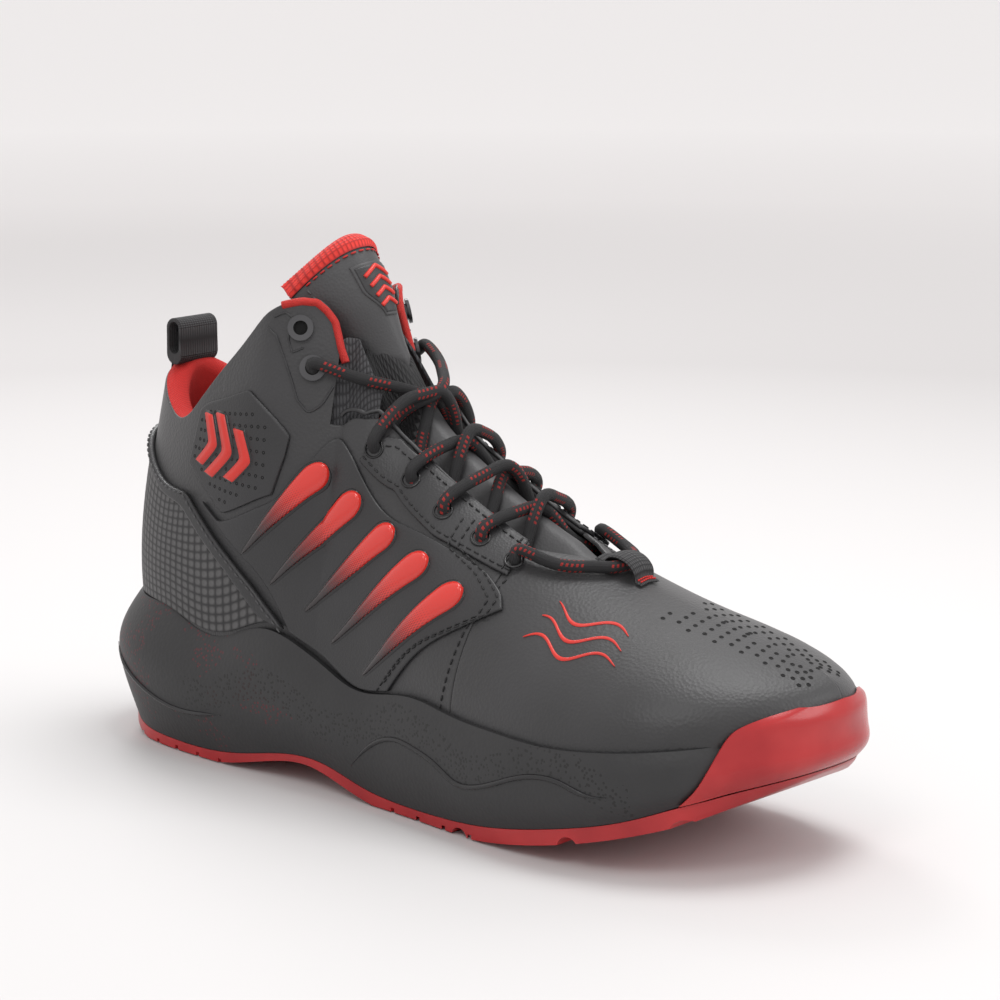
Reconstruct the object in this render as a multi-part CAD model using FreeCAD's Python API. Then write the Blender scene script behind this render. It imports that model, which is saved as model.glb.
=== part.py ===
import FreeCAD, Part
import math
import os

from FreeCAD import Vector

# A right-foot basketball high top, toe along +X, lateral side along -Y, standing on z = 0.
# Stations run from 0 at the heel tip to 1 at the toe tip, and are shared by both sides.

# ---- driving dimensions, mm -------------------------------------------------
# plan outline at its widest, heel tip to toe tip
LATERAL = [(-150, 2), (-143.5, -20), (-125, -35), (-95, -41), (-60, -41.5), (-20, -42), (20, -46),
           (55, -51), (85, -52), (112, -46.5), (134, -31), (146.5, -10), (150, 11)]
MEDIAL = [(-150, 2), (-143.5, 22), (-125, 36.5), (-95, 41), (-60, 38.5), (-20, 38), (20, 42.5),
          (55, 49.5), (85, 52), (112, 49.5), (133, 42), (146, 29), (150, 11)]
MIDDLE = 2.0            # y of the shaft's middle plane

# heights along the shoe, as (x, z)
EDGE = [(-150, 50), (-125, 50), (-105, 49.5), (-86, 45.5), (-69, 47), (-50, 52), (-38, 48.5),
        (-25, 43.5), (-12, 37.5), (1, 38.5), (20, 41), (36, 38.5), (50, 37.8), (66, 37), (81, 36.8),
        (96, 38), (114, 40), (130, 42), (150, 43)]
BOARD = [(-150, 24), (-100, 23), (-60, 24), (-20, 22), (20, 18), (60, 18), (90, 21), (120, 27), (150, 33)]
BOND = [(-150, 10), (-138, 7), (-125, 4.4), (-110, 3.6), (-82, 3.6), (-66, 5.5), (-44, 9.8), (-35, 10.4),
        (-23, 8.9), (-10, 5.2), (0, 3.8), (28, 3.6), (47, 5), (64, 7.6), (88, 12.6), (111, 18.6),
        (126, 24.2), (150, 31)]
TREAD = [(-150, 6), (-138, 3.2), (-125, 0.4), (-110, -0.6), (-82, -0.6), (-66, 2.2), (-50, 6), (-35, 7.8),
         (-20, 4), (-3, -0.3), (10, -0.8), (35, -0.8), (52, 0.6), (70, 3.5), (83, 6.2), (94, 8.8),
         (110, 13), (129, 19), (145, 26), (150, 28.5)]

# ribs of the upper on the lateral side: x of the foot, top point, handle at the foot (out, up),
# handle at the top; the medial side mirrors them, and the ridge points are shared
RIBS = [
    (-150, (-131.5, 2, 132), (3, 28), (-4, 0, -32)),
    (-135, (-122, -15, 126), (3, 28), (-4, -4, -30)),
    (-112, (-104, -25, 118.5), (3, 26), (-2, -5, -28)),
    (-85, (-84, -29, 129.5), (2, 28), (0, -6, -30)),
    (-64, (-64, -29, 147), (1, 30), (1, -8, -34)),
    (-50, (-52.5, -24, 161.5), (0, 32), (3, -9, -38)),
    (-40, (-47, -13, 170.5), (0, 32), (8, -14, -36)),
    (-30, (-45, 2, 175), (0, 32), (16, -20, -32)),
    (-15, (-22, 2, 139), (1, 30), (10, -28, -14)),
    (5, (-0.5, 2, 115.5), (2, 28), (6, -33, -7)),
    (30, (28.5, 2, 99), (3, 25), (4, -31, -6)),
    (58, (58, 3, 86), (4, 23), (2, -30, -4)),
    (88, (88, 5, 75.5), (4, 22), (2, -30, -3)),
    (114, (114, 7, 68.5), (4, 21), (4, -25, -2)),
    (134, (130.5, 9, 63), (4, 16), (7, -18, -3)),
    (146, (137, 10, 60.5), (3, 12), (11, -8, -4)),
    (150, (139, 11, 60), (3, 11), (12, 0, -5)),
]
RIDGE_RIB = 7           # from this rib on, the two sides meet on a ridge
FEATHER = 5.0           # the upper's foot stands this far inside the plan outline
HEEL_TUCK = 6.0         # and this much more behind the arch
SINK = 5.0              # the foot starts this far below the midsole's top edge

GAP = 0.2               # clearance between two pieces laid on each other
SHELL = 1.5             # thickness of the upper's outer leather
SKIN_T = 1.2            # thickness of an overlay or a lining

EYELET_R = 2.4          # bore of an eyelet ring
LACE_R = 2.0            # radius of the round lace


# ---- curves -----------------------------------------------------------------
def solve(rows, rhs):
    """Gaussian elimination of a small dense system."""
    size = len(rhs)
    table = [row[:] + [value] for row, value in zip(rows, rhs)]
    for i in range(size):
        pivot = max(range(i, size), key=lambda k: abs(table[k][i]))
        table[i], table[pivot] = table[pivot], table[i]
        for k in range(i + 1, size):
            factor = table[k][i] / table[i][i]
            for j in range(i, size + 1):
                table[k][j] -= factor * table[i][j]
    x = [0.0] * size
    for i in range(size - 1, -1, -1):
        rest = sum(table[i][j] * x[j] for j in range(i + 1, size))
        x[i] = (table[i][size] - rest) / table[i][i]
    return x


class Spline:
    """Cubic spline through (t, y) with free ends."""

    def __init__(self, t, y):
        self.t, self.y = [float(v) for v in t], [float(v) for v in y]
        n = len(self.t)
        step = [b - a for a, b in zip(self.t, self.t[1:])]
        rows = [[0.0] * n for _ in range(n)]
        rhs = [0.0] * n
        rows[0][0] = rows[-1][-1] = 1.0
        for i in range(1, n - 1):
            rows[i][i - 1], rows[i][i], rows[i][i + 1] = step[i - 1], 2 * (step[i - 1] + step[i]), step[i]
            rhs[i] = 6 * ((self.y[i + 1] - self.y[i]) / step[i] - (self.y[i] - self.y[i - 1]) / step[i - 1])
        self.curvature = solve(rows, rhs)

    def __call__(self, x):
        t = self.t
        x = min(max(x, t[0]), t[-1])
        i = max(k for k in range(len(t) - 1) if t[k] <= x)
        h = t[i + 1] - t[i]
        a, b = (t[i + 1] - x) / h, (x - t[i]) / h
        bend = (a ** 3 - a) * self.curvature[i] + (b ** 3 - b) * self.curvature[i + 1]
        return a * self.y[i] + b * self.y[i + 1] + bend * h * h / 6


def smooth(a, b, x):
    w = min(max((x - a) / (b - a), 0.0), 1.0)
    return w * w * (3 - 2 * w)


def mix(a, b, w):
    return a + (b - a) * w


def along(points, count):
    """count points evenly spaced along a polyline of (station, height) pairs."""
    lengths = [0.0]
    for p, q in zip(points, points[1:]):
        lengths.append(lengths[-1] + math.dist(p, q))
    out = []
    for k in range(count):
        d = lengths[-1] * k / (count - 1)
        i = max(j for j in range(len(points) - 1) if lengths[j] <= d + 1e-9)
        w = (d - lengths[i]) / (lengths[i + 1] - lengths[i])
        out.append(tuple(mix(p, q, w) for p, q in zip(points[i], points[i + 1])))
    return out


edge_z = Spline(*zip(*EDGE))
board_z = Spline(*zip(*BOARD))
bond_z = Spline(*zip(*BOND))
tread_z = Spline(*zip(*TREAD))


# ---- plan outline -----------------------------------------------------------
_steps = [(math.dist(a, b) + math.dist(c, d)) / 2
          for a, b, c, d in zip(LATERAL, LATERAL[1:], MEDIAL, MEDIAL[1:])]
_stations = [sum(_steps[:i]) / sum(_steps) for i in range(len(LATERAL))]


def _ring_spline(axis):
    """A coordinate of the closed outline over -1.3..1.3: lateral above 0, medial below."""
    lateral = [(s, p[axis]) for s, p in zip(_stations, LATERAL)]
    medial = [(-s, p[axis]) for s, p in zip(_stations, MEDIAL)][1:]
    beyond = [(2 - s, p[axis]) for s, p in zip(_stations, MEDIAL)][-5:-1]
    before = [(-2 + s, p[axis]) for s, p in zip(_stations, LATERAL)][-5:-1]
    return Spline(*zip(*sorted(before + medial + lateral + beyond)))


ring_x, ring_y = _ring_spline(0), _ring_spline(1)


def plan(side, s, inset=0.0):
    """Point of the plan outline moved inwards, and the outward normal: x, y, nx, ny."""
    u = -side * s
    e = 1e-4
    dx, dy = ring_x(u + e) - ring_x(u - e), ring_y(u + e) - ring_y(u - e)
    size = math.hypot(dx, dy)
    nx, ny = dy / size, -dx / size
    return ring_x(u) - nx * inset, ring_y(u) - ny * inset, nx, ny


def station_at(x):
    low, high = 0.0, 1.0
    for _ in range(40):
        half = (low + high) / 2
        if ring_x(half) < x:
            low = half
        else:
            high = half
    return (low + high) / 2


# ---- master surface of the upper ---------------------------------------------
_rib_s = [0.0] + [station_at(rib[0]) for rib in RIBS[1:-1]] + [1.0]


def even_spline(value):
    """A rib value along the shoe, even about both tips."""
    v = [value(i) for i in range(len(RIBS))]
    s = [-a for a in _rib_s[4:0:-1]] + _rib_s + [2 - a for a in _rib_s[-2:-6:-1]]
    return Spline(s, v[4:0:-1] + v + v[-2:-6:-1])


def odd_spline(value):
    """A rib value that changes sign from side to side and dies out on the ridge."""
    v = [value(i) for i in range(RIDGE_RIB + 1)]
    f = Spline([-a for a in _rib_s[4:0:-1]] + _rib_s[:RIDGE_RIB + 1], [-a for a in v[4:0:-1]] + v)
    return lambda s: f(s) if s < _rib_s[RIDGE_RIB] else 0.0


top_x = even_spline(lambda i: RIBS[i][1][0])
top_z = even_spline(lambda i: RIBS[i][1][2])
top_mid = even_spline(lambda i: RIBS[i][1][1] if i >= RIDGE_RIB else MIDDLE)
top_half = odd_spline(lambda i: MIDDLE - RIBS[i][1][1])
foot_out = even_spline(lambda i: RIBS[i][2][0])
foot_up = even_spline(lambda i: RIBS[i][2][1])
head_x, head_y, head_z = [even_spline(lambda i, k=k: RIBS[i][3][k]) for k in range(3)]


def foot(side, s):
    """Where a rib leaves the midsole: x, y, z, nx, ny."""
    x = plan(side, s)[0]
    tuck = HEEL_TUCK * smooth(-60, -130, x)
    px, py, nx, ny = plan(side, s, FEATHER + tuck)
    return px, py, edge_z(x) - SINK, nx, ny


def upper(side, s, t):
    """Master surface: t is -1 at the board, 0 at the foot and 1 at the rim or ridge."""
    x, y, z, nx, ny = foot(side, s)
    out, up = foot_out(s), foot_up(s)
    if t < 0:
        drop = t * (z - board_z(x)) / up
        return x + nx * out * drop, y + ny * out * drop, z + up * drop
    near = (x + nx * out, y + ny * out, z + up)
    top = (top_x(s), top_mid(s) + side * top_half(s), top_z(s))
    far = (top[0] + head_x(s), top[1] - side * head_y(s), top[2] + head_z(s))
    w = ((1 - t) ** 3, 3 * t * (1 - t) ** 2, 3 * t * t * (1 - t), t ** 3)
    return tuple(sum(f * p[k] for f, p in zip(w, ((x, y, z), near, far, top))) for k in range(3))


def across(side, s, t):
    """The master surface carried over the tips and the ridge."""
    if s < 0:
        side, s = -side, -s
    if s > 1:
        side, s = -side, 2 - s
    if t > 1 and s >= _rib_s[RIDGE_RIB]:
        side, t = -side, 2 - t
    return upper(side, s, t)


def skin(side, s, t, offset=0.0):
    """A point offset outwards from the master surface."""
    e = 2e-3
    near = 0.985 if s > 0.985 and t > 0.97 else s
    a = Vector(*across(side, near + e, t)) - Vector(*across(side, near - e, t))
    b = Vector(*across(side, near, t + 2 * e)) - Vector(*across(side, near, t - 2 * e))
    return Vector(*across(side, s, t)) + a.cross(b).normalize() * (-side * offset)


# ---- solids from grids ---------------------------------------------------------
def knots(count, degree):
    spans = count - degree
    return [k / spans for k in range(spans + 1)], [degree + 1] + [1] * (spans - 1) + [degree + 1]


def surface(grid):
    """Clamped B-spline face with the grid's points as its poles."""
    du, dv = min(3, len(grid) - 1), min(3, len(grid[0]) - 1)
    ku, mu = knots(len(grid), du)
    kv, mv = knots(len(grid[0]), dv)
    s = Part.BSplineSurface()
    s.buildFromPolesMultsKnots(grid, mu, mv, ku, kv, False, False, du, dv)
    return s.toShape()


def closed(faces):
    shell = Part.makeShell(faces)
    shell.sewShape()
    solid = Part.Solid(shell.Shells[0] if shell.Shells else shell)
    if solid.Volume < 0:
        solid.reverse()
    return solid


def strips(outer, inner, sides="0123"):
    """Side faces between two grids: 0 first row, 1 last row, 2 first column, 3 last column."""
    pick = {"0": lambda g: g[0], "1": lambda g: g[-1],
            "2": lambda g: [row[0] for row in g], "3": lambda g: [row[-1] for row in g]}
    return [surface([pick[k](outer), pick[k](inner)]) for k in sides]


def slab(outer, inner):
    return closed([surface(outer), surface(inner)] + strips(outer, inner))


def value(f, s, t):
    return f(s, t) if callable(f) else f


def panel_grid(side, low, high, offset, na, nb):
    """Points over the region ruled between two polylines of (station, height)."""
    return [[skin(side, mix(a[0], b[0], k / (nb - 1)), mix(a[1], b[1], k / (nb - 1)),
                  value(offset, mix(a[0], b[0], k / (nb - 1)), mix(a[1], b[1], k / (nb - 1))))
             for k in range(nb)] for a, b in zip(along(low, na), along(high, na))]


def panel(side, low, high, inner, outer, na=24, nb=12):
    return slab(panel_grid(side, low, high, outer, na, nb), panel_grid(side, low, high, inner, na, nb))


def around_heel(points):
    """A polyline from the heel out, carried round the heel to the other side."""
    return [(-s, t) for s, t in points[:0:-1]] + points


def lens(side_rows):
    """Solid from the side walls of both sides, whose rows run from bottom to top."""
    walls = [surface(rows) for rows in side_rows]
    ends = [surface([rows[k] for rows in side_rows]) for k in (0, -1)]
    caps = [surface([[row[k] for row in rows] for rows in side_rows]) for k in (0, -1)]
    return closed(walls + ends + caps)


def both_sides(point, heights, s0=0.003, s1=0.997, count=56):
    """Rows of point(side, s, h) for each side, the stations closer together at the tips."""
    out = []
    for side in (-1, 1):
        rows = []
        for i in range(count + 1):
            s = mix(s0, s1, 0.5 - 0.5 * math.cos(math.pi * i / count))
            rows.append([point(side, s, h) for h in heights])
        out.append(rows)
    return out


PARTS = {}


def keep(name, shape):
    PARTS[name] = shape


# ---- sole ---------------------------------------------------------------------
WALL = [0.0, 0.12, 0.24, 0.36, 0.48, 0.6, 0.7, 0.8, 0.9, 1.0]
wall_heel = Spline([0, 0.3, 0.6, 0.8, 1], [6.5, 2.2, 0.3, 3.2, 8.8])
wall_fore = Spline([0, 0.3, 0.6, 0.8, 1], [4.2, 0.8, 0.5, 1.2, 2.9])
BUMPER_T = 2.0


def wall_inset(s, h):
    """How far the midsole's side wall stands inside the plan outline at a height fraction."""
    x = ring_x(s)
    return (mix(wall_fore(h), wall_heel(h), smooth(-40, -110, x))
            + (BUMPER_T + GAP) * smooth(0.852, 0.892, s))


def sole_point(side, s, h, low, high, inset):
    x0 = plan(side, s)[0]
    x, y = plan(side, s, inset)[:2]
    return Vector(x, y, mix(low(x0), high(x0), h))


def midsole_wall(side, s, h, outward=0.0):
    return sole_point(side, s, h, bond_z, edge_z, wall_inset(s, h) - outward)


def cavity_wall(side, s, t):
    return skin(side, s, t, GAP + 0.05)


def floor_plate(inset, low, high):
    """Plate parallel to the footbed, inset from the foot of the upper."""
    def point(side, s, h):
        x, y, z = upper(side, s, -1)
        nx, ny = plan(side, s)[2:]
        x0 = plan(side, s)[0]
        return Vector(x - nx * inset, y - ny * inset, board_z(x0) + mix(low, high, h))
    return lens(both_sides(point, [0, 1]))


def strip_plate(x0, x1, half, low, high, count=9):
    """Plate under the footbed between two x, its width half at each side of y = 0."""
    xs = [mix(x0, x1, i / (count - 1)) for i in range(count)]
    return slab([[Vector(x, y, board_z(x) + high) for y in (-half, half)] for x in xs],
                [[Vector(x, y, board_z(x) + low) for y in (-half, half)] for x in xs])


def chevron(x, depth, width=1.6):
    """Zigzag bar across the tread."""
    ys = [-60 + 10 * k for k in range(13)]
    near = [Vector(x + (4 if k % 2 else 0), y, -2) for k, y in enumerate(ys)]
    far = [p + Vector(width, 0, 0) for p in reversed(near)]
    return Part.Face(Part.makePolygon(near + far + [near[0]])).extrude(Vector(0, 0, 2 + depth))


outer = lens(both_sides(midsole_wall, WALL))
cavity = lens(both_sides(cavity_wall, [-1, -0.6, -0.3, 0, 0.12, 0.24, 0.36]))
pocket = strip_plate(-78, 22, 17.5, -2.0, 3.0)
keep("midsole", outer.cut(cavity).cut(pocket))


def tread_wall(side, s, h):
    x0 = plan(side, s)[0]
    toe = smooth(0.845, 0.875, s)
    x, y = plan(side, s, wall_inset(s, 0) - toe * (BUMPER_T + GAP - 2.4 * (1 - h) ** 2))[:2]
    return Vector(x, y, mix(tread_z(x0), bond_z(x0) - GAP, h))


tread = lens(both_sides(tread_wall, [0, 0.33, 0.66, 1]))
tread = tread.cut(Part.makeBox(400, 200, 20, Vector(-200, -100, -20)))
tread = tread.cut(Part.makeCompound([chevron(x, 1.3) for x in (-128, -116, -104, -92, -80, 6, 18, 30, 42)]))
flexes = [Part.makeCylinder(4.0, 140, Vector(x, -70, max(tread_z(x), 0) - 1.6), Vector(0, 1, 0)) for x in (40, 87, 123)]
tread = tread.cut(Part.makeCompound(flexes))
keep("outsole", tread)
keep("shank", strip_plate(-77, 21, 16.5, -1.7, -0.4))
keep("strobel_board", floor_plate(5.4, 0.3, 1.8))
keep("sockliner", floor_plate(6.0, 2.3, 6.3))


# ---- toe bumper: up the midsole wall and over the tip of the upper -------------
BUMPER_T_TOP = 0.56


def bumper_profile(side, s, offset):
    rows = [midsole_wall(side, s, h, offset) for h in (0.02, 0.2, 0.4, 0.6, 0.78)]
    top = BUMPER_T_TOP - 0.08 * smooth(1.0, 0.93, s)
    rows += [skin(side, s, mix(0.21, top, k / 4), offset + 0.2) for k in range(5)]
    return rows


def bumper_rear(k):
    """Station of the slanted rear edge, by profile index."""
    return 0.868 + 0.062 * (k / 9) ** 2.5 - 0.02 * (1 - k / 9) ** 6


def bumper_grid(thickness, count=15):
    """Inner face at no thickness, outer face thinned toward its upper and rear edges."""
    rows = []
    for side in (-1, 1):
        order = range(count) if side < 0 else range(count - 2, -1, -1)
        for i in order:
            row = []
            for k in range(10):
                s = mix(bumper_rear(k), 1.0, i / (count - 1))
                edge = min(1.0, 0.5 + 0.25 * i) * (1 - 0.65 * smooth(6.5, 9, k))
                row.append(bumper_profile(side, s, GAP + thickness * edge)[k])
            rows.append(row)
    return rows


keep("toe_bumper", slab(bumper_grid(BUMPER_T), bumper_grid(0)))


# ---- upper ---------------------------------------------------------------------
LOW_T = -0.97
CREST = 0.075           # lowest height that an overlay reaches, just above the midsole's edge
SIDES = {"lateral": -1, "medial": 1}

TOPLINE = [(0.008, 0.965), (0.10, 0.955), (0.159, 0.955), (0.193, 0.981), (0.216, 1.005), (0.265, 1.035)]
NOTCH = [(0.27, 0.585), (0.385, 0.585), (0.399, 0.577), (0.405, 0.583), (0.428, 0.671), (0.441, 0.747),
         (0.455, 0.791), (0.471, 0.823), (0.495, 0.842), (0.538, 0.840), (0.603, 0.845)]
THROAT = [(0.605, 0.847), (0.628, 0.878), (0.649, 0.937), (0.667, 1.0)]
WING_TOP = [(0.27, 1.037), (0.311, 1.056), (0.341, 0.997), (0.359, 0.964), (0.372, 0.924),
            (0.382, 0.871), (0.391, 0.818), (0.398, 0.745), (0.404, 0.70)]
WING_LOW = [(0.27, 0.60), (0.396, 0.60)]


def shrink(points, ds, dt):
    return [(s + ds, t + dt) for s, t in points]


def hood(start, edge, inner, outer, low=LOW_T, na=16, nb=14, front=26, rear=10):
    """Solid over both sides from a rear line to the toe; edge is the throat, from start to the ridge."""
    faces, tips = [], None
    for side in (-1, 1):
        back_low = [start, (edge[-1][0], low)]
        tip_low, tip_high = [(edge[-1][0], low), (1.0, low)], [edge[-1], (1.0, 1.0)]
        pair = [[panel_grid(side, back_low, edge, f, rear, nb) for f in (outer, inner)],
                [panel_grid(side, tip_low, tip_high, f, front, nb) for f in (outer, inner)]]
        tips = tips or [grid[-1] for grid in pair[1]]       # both sides end on the same line
        for grid, tip in zip(pair[1], tips):
            grid[-1] = tip
        for a, b in pair:
            faces += [surface(a), surface(b)]
        faces += strips(*pair[0], sides="023") + strips(*pair[1], sides="2")
    return closed(faces)


vamp = hood((0.567, LOW_T), THROAT, -SHELL, -0.05)
LINING_THROAT = [(0.72, 0.9), (0.722, 0.93), (0.724, 0.96), (0.726, 1.0)]
keep("vamp", vamp)
keep("vamp_lining", hood((0.62, -0.9), LINING_THROAT, -4.0, -2.8, low=-0.9))
keep("toe_puff", hood((0.87, -0.9), [(0.88, 0.5), (0.89, 0.7), (0.9, 1.0)], -2.6, -1.7, low=-0.9, front=12))
keep("heel_counter", panel(1, around_heel([(0, -0.93), (0.24, -0.93)]),
                           around_heel([(0, 0.45), (0.24, 0.40)]), -3.4, -1.7, 33, 9))


def collar_depth(s, t):
    return 3.8 + 4.9 * smooth(0.3, 0.6, t)


keep("collar_foam", panel(1, around_heel([(0, 0.47), (0.262, 0.47)]), around_heel([(0, 0.95), (0.262, 0.95)]),
                          lambda s, t: -(collar_depth(s, t) - 4 * GAP), -1.7, 33, 14))
keep("collar_lining", panel(1, around_heel([(0, -0.9), (0.262, -0.9)]), around_heel([(0, 0.955), (0.262, 0.955)]),
                            lambda s, t: -(collar_depth(s, t) + SKIN_T), lambda s, t: -collar_depth(s, t), 33, 14))

STRAP_HIGH = [(0, 0.745), (0.083, 0.731), (0.213, 0.633), (0.291, 0.328), (0.34, 0.115), (0.362, CREST)]
STRAP_LOW = [(0, 0.665), (0.083, 0.645), (0.20, 0.47), (0.288, 0.224), (0.325, CREST)]
keep("heel_strap", panel(1, around_heel(STRAP_LOW), around_heel(STRAP_HIGH), 0.2, 2.4, 61, 5))
keep("heel_panel", panel(1, around_heel([(0, CREST), (0.312, CREST)]),
                         around_heel([(0, 0.655), (0.08, 0.635), (0.195, 0.46), (0.28, 0.224), (0.316, CREST + 0.02)]),
                         0.15, 1.15, 49, 9))

OVERLAY_LOW = [(0.378, CREST), (0.43, CREST), (0.502, CREST)]
OVERLAY_HIGH = [(0.246, 0.57), (0.274, 0.465), (0.342, 0.437), (0.367, 0.49), (0.40, 0.553), (0.44, 0.555),
                (0.53, 0.592), (0.62, 0.555)]
EYESTAY_LOW = [(0.432, 0.585), (0.47, 0.655), (0.53, 0.622), (0.58, 0.655), (0.60, 0.675)]
EYESTAY_HIGH = [(0.439, 0.69), (0.459, 0.782), (0.496, 0.828), (0.537, 0.833), (0.60, 0.836)]
PATCH_LOW = [(0.212, 0.75), (0.277, 0.492), (0.341, 0.46)]
PATCH_HIGH = [(0.226, 0.945), (0.24, 0.945), (0.305, 0.842), (0.357, 0.602), (0.353, 0.55)]

# holes for the lace and the eyelets, as (station, height)
LACE_HOLES = [(0.441, 0.660), (0.485, 0.729), (0.529, 0.718), (0.568, 0.728), (0.605, 0.735)]
EYELETS = [(0.358, 0.882), (0.372, 0.745)]


def normal(side, s, t):
    return (skin(side, s, t, 1) - skin(side, s, t, 0)).normalize()


def drills(side, places, radius):
    """Cylinders square to the skin at the given places."""
    return [Part.makeCylinder(radius, 20, skin(side, s, t, -10), normal(side, s, t)) for s, t in places]


def axis_frame(side, a, b):
    """Millimetres per unit of station and height half way between two places."""
    s, t = mix(a[0], b[0], 0.5), mix(a[1], b[1], 0.5)
    e = 0.01
    along_s = (skin(side, s + e, t) - skin(side, s - e, t)) / (2 * e)
    along_t = (skin(side, s, t + e) - skin(side, s, t - e)) / (2 * e)
    return along_s, along_t


def bead(side, a, b, width, inner, outer, count=9):
    """Panel along the line a to b with a half width, in mm, that varies with the way along."""
    along_s, along_t = axis_frame(side, a, b)
    ms, mt = along_s.Length, along_t.Length
    ds, dt = (b[0] - a[0]) * ms, (b[1] - a[1]) * mt
    size = math.hypot(ds, dt)
    ps, pt = -dt / size / ms, ds / size / mt
    low, high = [], []
    for k in range(count):
        w = k / (count - 1)
        s, t, half = mix(a[0], b[0], w), mix(a[1], b[1], w), width(w)
        low.append((s - ps * half, t - pt * half))
        high.append((s + ps * half, t + pt * half))
    return panel_rows(side, low, high, inner, outer)


def panel_rows(side, low, high, inner, outer, nb=4):
    """As panel, with a row of poles at each given point pair."""
    grids = []
    for offset in (outer, inner):
        grids.append([[skin(side, mix(a[0], b[0], k / (nb - 1)), mix(a[1], b[1], k / (nb - 1)), offset)
                       for k in range(nb)] for a, b in zip(low, high)])
    return slab(*grids)


TEAR_TIPS = [(0.308, 0.322), (0.344, 0.192), (0.388, 0.155), (0.424, 0.128), (0.468, 0.115)]
TEAR_ENDS = [(0.385, 0.477), (0.426, 0.471), (0.469, 0.520), (0.521, 0.506), (0.560, 0.488)]


def tear(w):
    """Half width of a teardrop pod along its length."""
    rise = 0.7 + 3.5 * smooth(0, 0.8, w)
    return rise if w < 0.82 else max(0.5, rise * math.sqrt(max(0, 1 - ((w - 0.82) / 0.18) ** 2)))


def emblem(side):
    """Three nested chevrons on the ankle patch."""
    a, b = (0.245, 0.80), (0.335, 0.545)
    along_s, along_t = axis_frame(side, a, b)
    ms, mt = along_s.Length, along_t.Length
    ds, dt = (b[0] - a[0]) * ms, (b[1] - a[1]) * mt
    size = math.hypot(ds, dt)
    ax, px = (ds / size / ms, dt / size / mt), (-dt / size / ms, ds / size / mt)
    solids = []
    for k, half in enumerate((8.0, 10.0, 8.0)):
        c = [mix(a[i], b[i], 0.25 + 0.27 * k) for i in range(2)]
        low, high = [], []
        for j in range(-4, 5):
            back = abs(j) / 4 * half * 0.7
            p = [c[i] + px[i] * half * j / 4 - ax[i] * back for i in range(2)]
            low.append(tuple(p))
            high.append((p[0] + ax[0] * 2.8, p[1] + ax[1] * 2.8))
        solids.append(panel_rows(side, low, high, 1.1, 2.2))
    return Part.makeCompound(solids)


for label, side in SIDES.items():
    holes = drills(side, LACE_HOLES, 2.7)
    barrels = drills(side, EYELETS, 3.1)
    keep(f"heel_quarter_{label}",
         panel(side, [(0.008, LOW_T), (0.265, LOW_T)], TOPLINE, -SHELL, -0.05, 20, 14))
    quarter = panel(side, [(0.27, LOW_T), (0.565, LOW_T)], NOTCH, -SHELL, -0.05, 34, 14)
    keep(f"mid_quarter_{label}", quarter.cut(Part.makeCompound(holes)))
    for name, low, high, inner, outer in (
            ("collar_wing", WING_LOW, WING_TOP, -SHELL, -0.05),
            ("wing_foam", shrink(WING_LOW, 0, 0.01), shrink(WING_TOP, -0.003, -0.014), -4.1, -1.7),
            ("wing_lining", shrink(WING_LOW, 0, 0.005), shrink(WING_TOP, -0.002, -0.01), -5.5, -4.3)):
        keep(f"{name}_{label}", panel(side, low, high, inner, outer, 22, 10).cut(Part.makeCompound(barrels)))
    eyestay = panel(side, EYESTAY_LOW, EYESTAY_HIGH, 0.15, 1.35, 20, 7)
    keep(f"eyestay_{label}", eyestay.cut(Part.makeCompound(holes)))
    keep(f"quarter_overlay_{label}", panel(side, OVERLAY_LOW, OVERLAY_HIGH, 0.15, 1.35, 28, 12))
    keep(f"ankle_patch_{label}", panel(side, PATCH_LOW, PATCH_HIGH, 0.15, 1.0, 16, 9))
    keep(f"emblem_{label}", emblem(side))
    keep(f"pods_{label}", Part.makeCompound(
        [bead(side, a, b, tear, 1.45, 3.4) for a, b in zip(TEAR_TIPS, TEAR_ENDS)]))
    edge = WING_TOP[2:]
    keep(f"wing_piping_{label}", panel_rows(side, shrink(edge, -0.008, -0.018), shrink(edge, -0.001, -0.004),
                                            0.1, 1.3))



# ---- gusset behind the notch ------------------------------------------------------
for label, side in SIDES.items():
    keep(f"gusset_{label}", panel(side, [(0.398, 0.50), (0.436, 0.55)], [(0.402, 0.66), (0.437, 0.80)],
                                  -3.4, -2.6, 10, 8))


# ---- tongue -----------------------------------------------------------------------
TONGUE_T = 5.0          # padded thickness


def tongue_face(s, t):
    """Depth of the lower tongue's outer face: high on the ridge, low beside it and under the vamp."""
    side_dip = -5.6 * smooth(0.985, 0.86, min(t, 2 - t))
    return -0.8 + side_dip - 1.6 * smooth(0.625, 0.655, s) * smooth(0.86, 0.985, min(t, 2 - t))


def saddle_grid(edge, ridge, offset, na=24, nb=17):
    """Points over a region that crosses the ridge, given its lateral edge and its ridge line."""
    rows = []
    for a, b in zip(along(edge, na), along(ridge, na)):
        row = []
        for k in range(nb):
            w = 2 * k / (nb - 1)
            s, t = (mix(a[0], b[0], w), mix(a[1], b[1], w)) if w <= 1 else (
                mix(b[0], a[0], w - 1), mix(b[1], a[1], w - 1))
            side = -1 if w <= 1 else 1
            row.append(skin(side, s, t, offset(s, t)))
        rows.append(row)
    return rows


TONGUE_EDGE = [(0.405, 0.748), (0.425, 0.732), (0.47, 0.71), (0.60, 0.71), (0.70, 0.80)]
TONGUE_RIDGE = [(0.446, 1.0), (0.475, 1.0), (0.52, 1.0), (0.62, 1.0), (0.70, 1.0)]
keep("tongue_lower", slab(saddle_grid(TONGUE_EDGE, TONGUE_RIDGE, tongue_face),
                          saddle_grid(TONGUE_EDGE, TONGUE_RIDGE, lambda s, t: tongue_face(s, t) - TONGUE_T)))

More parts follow.
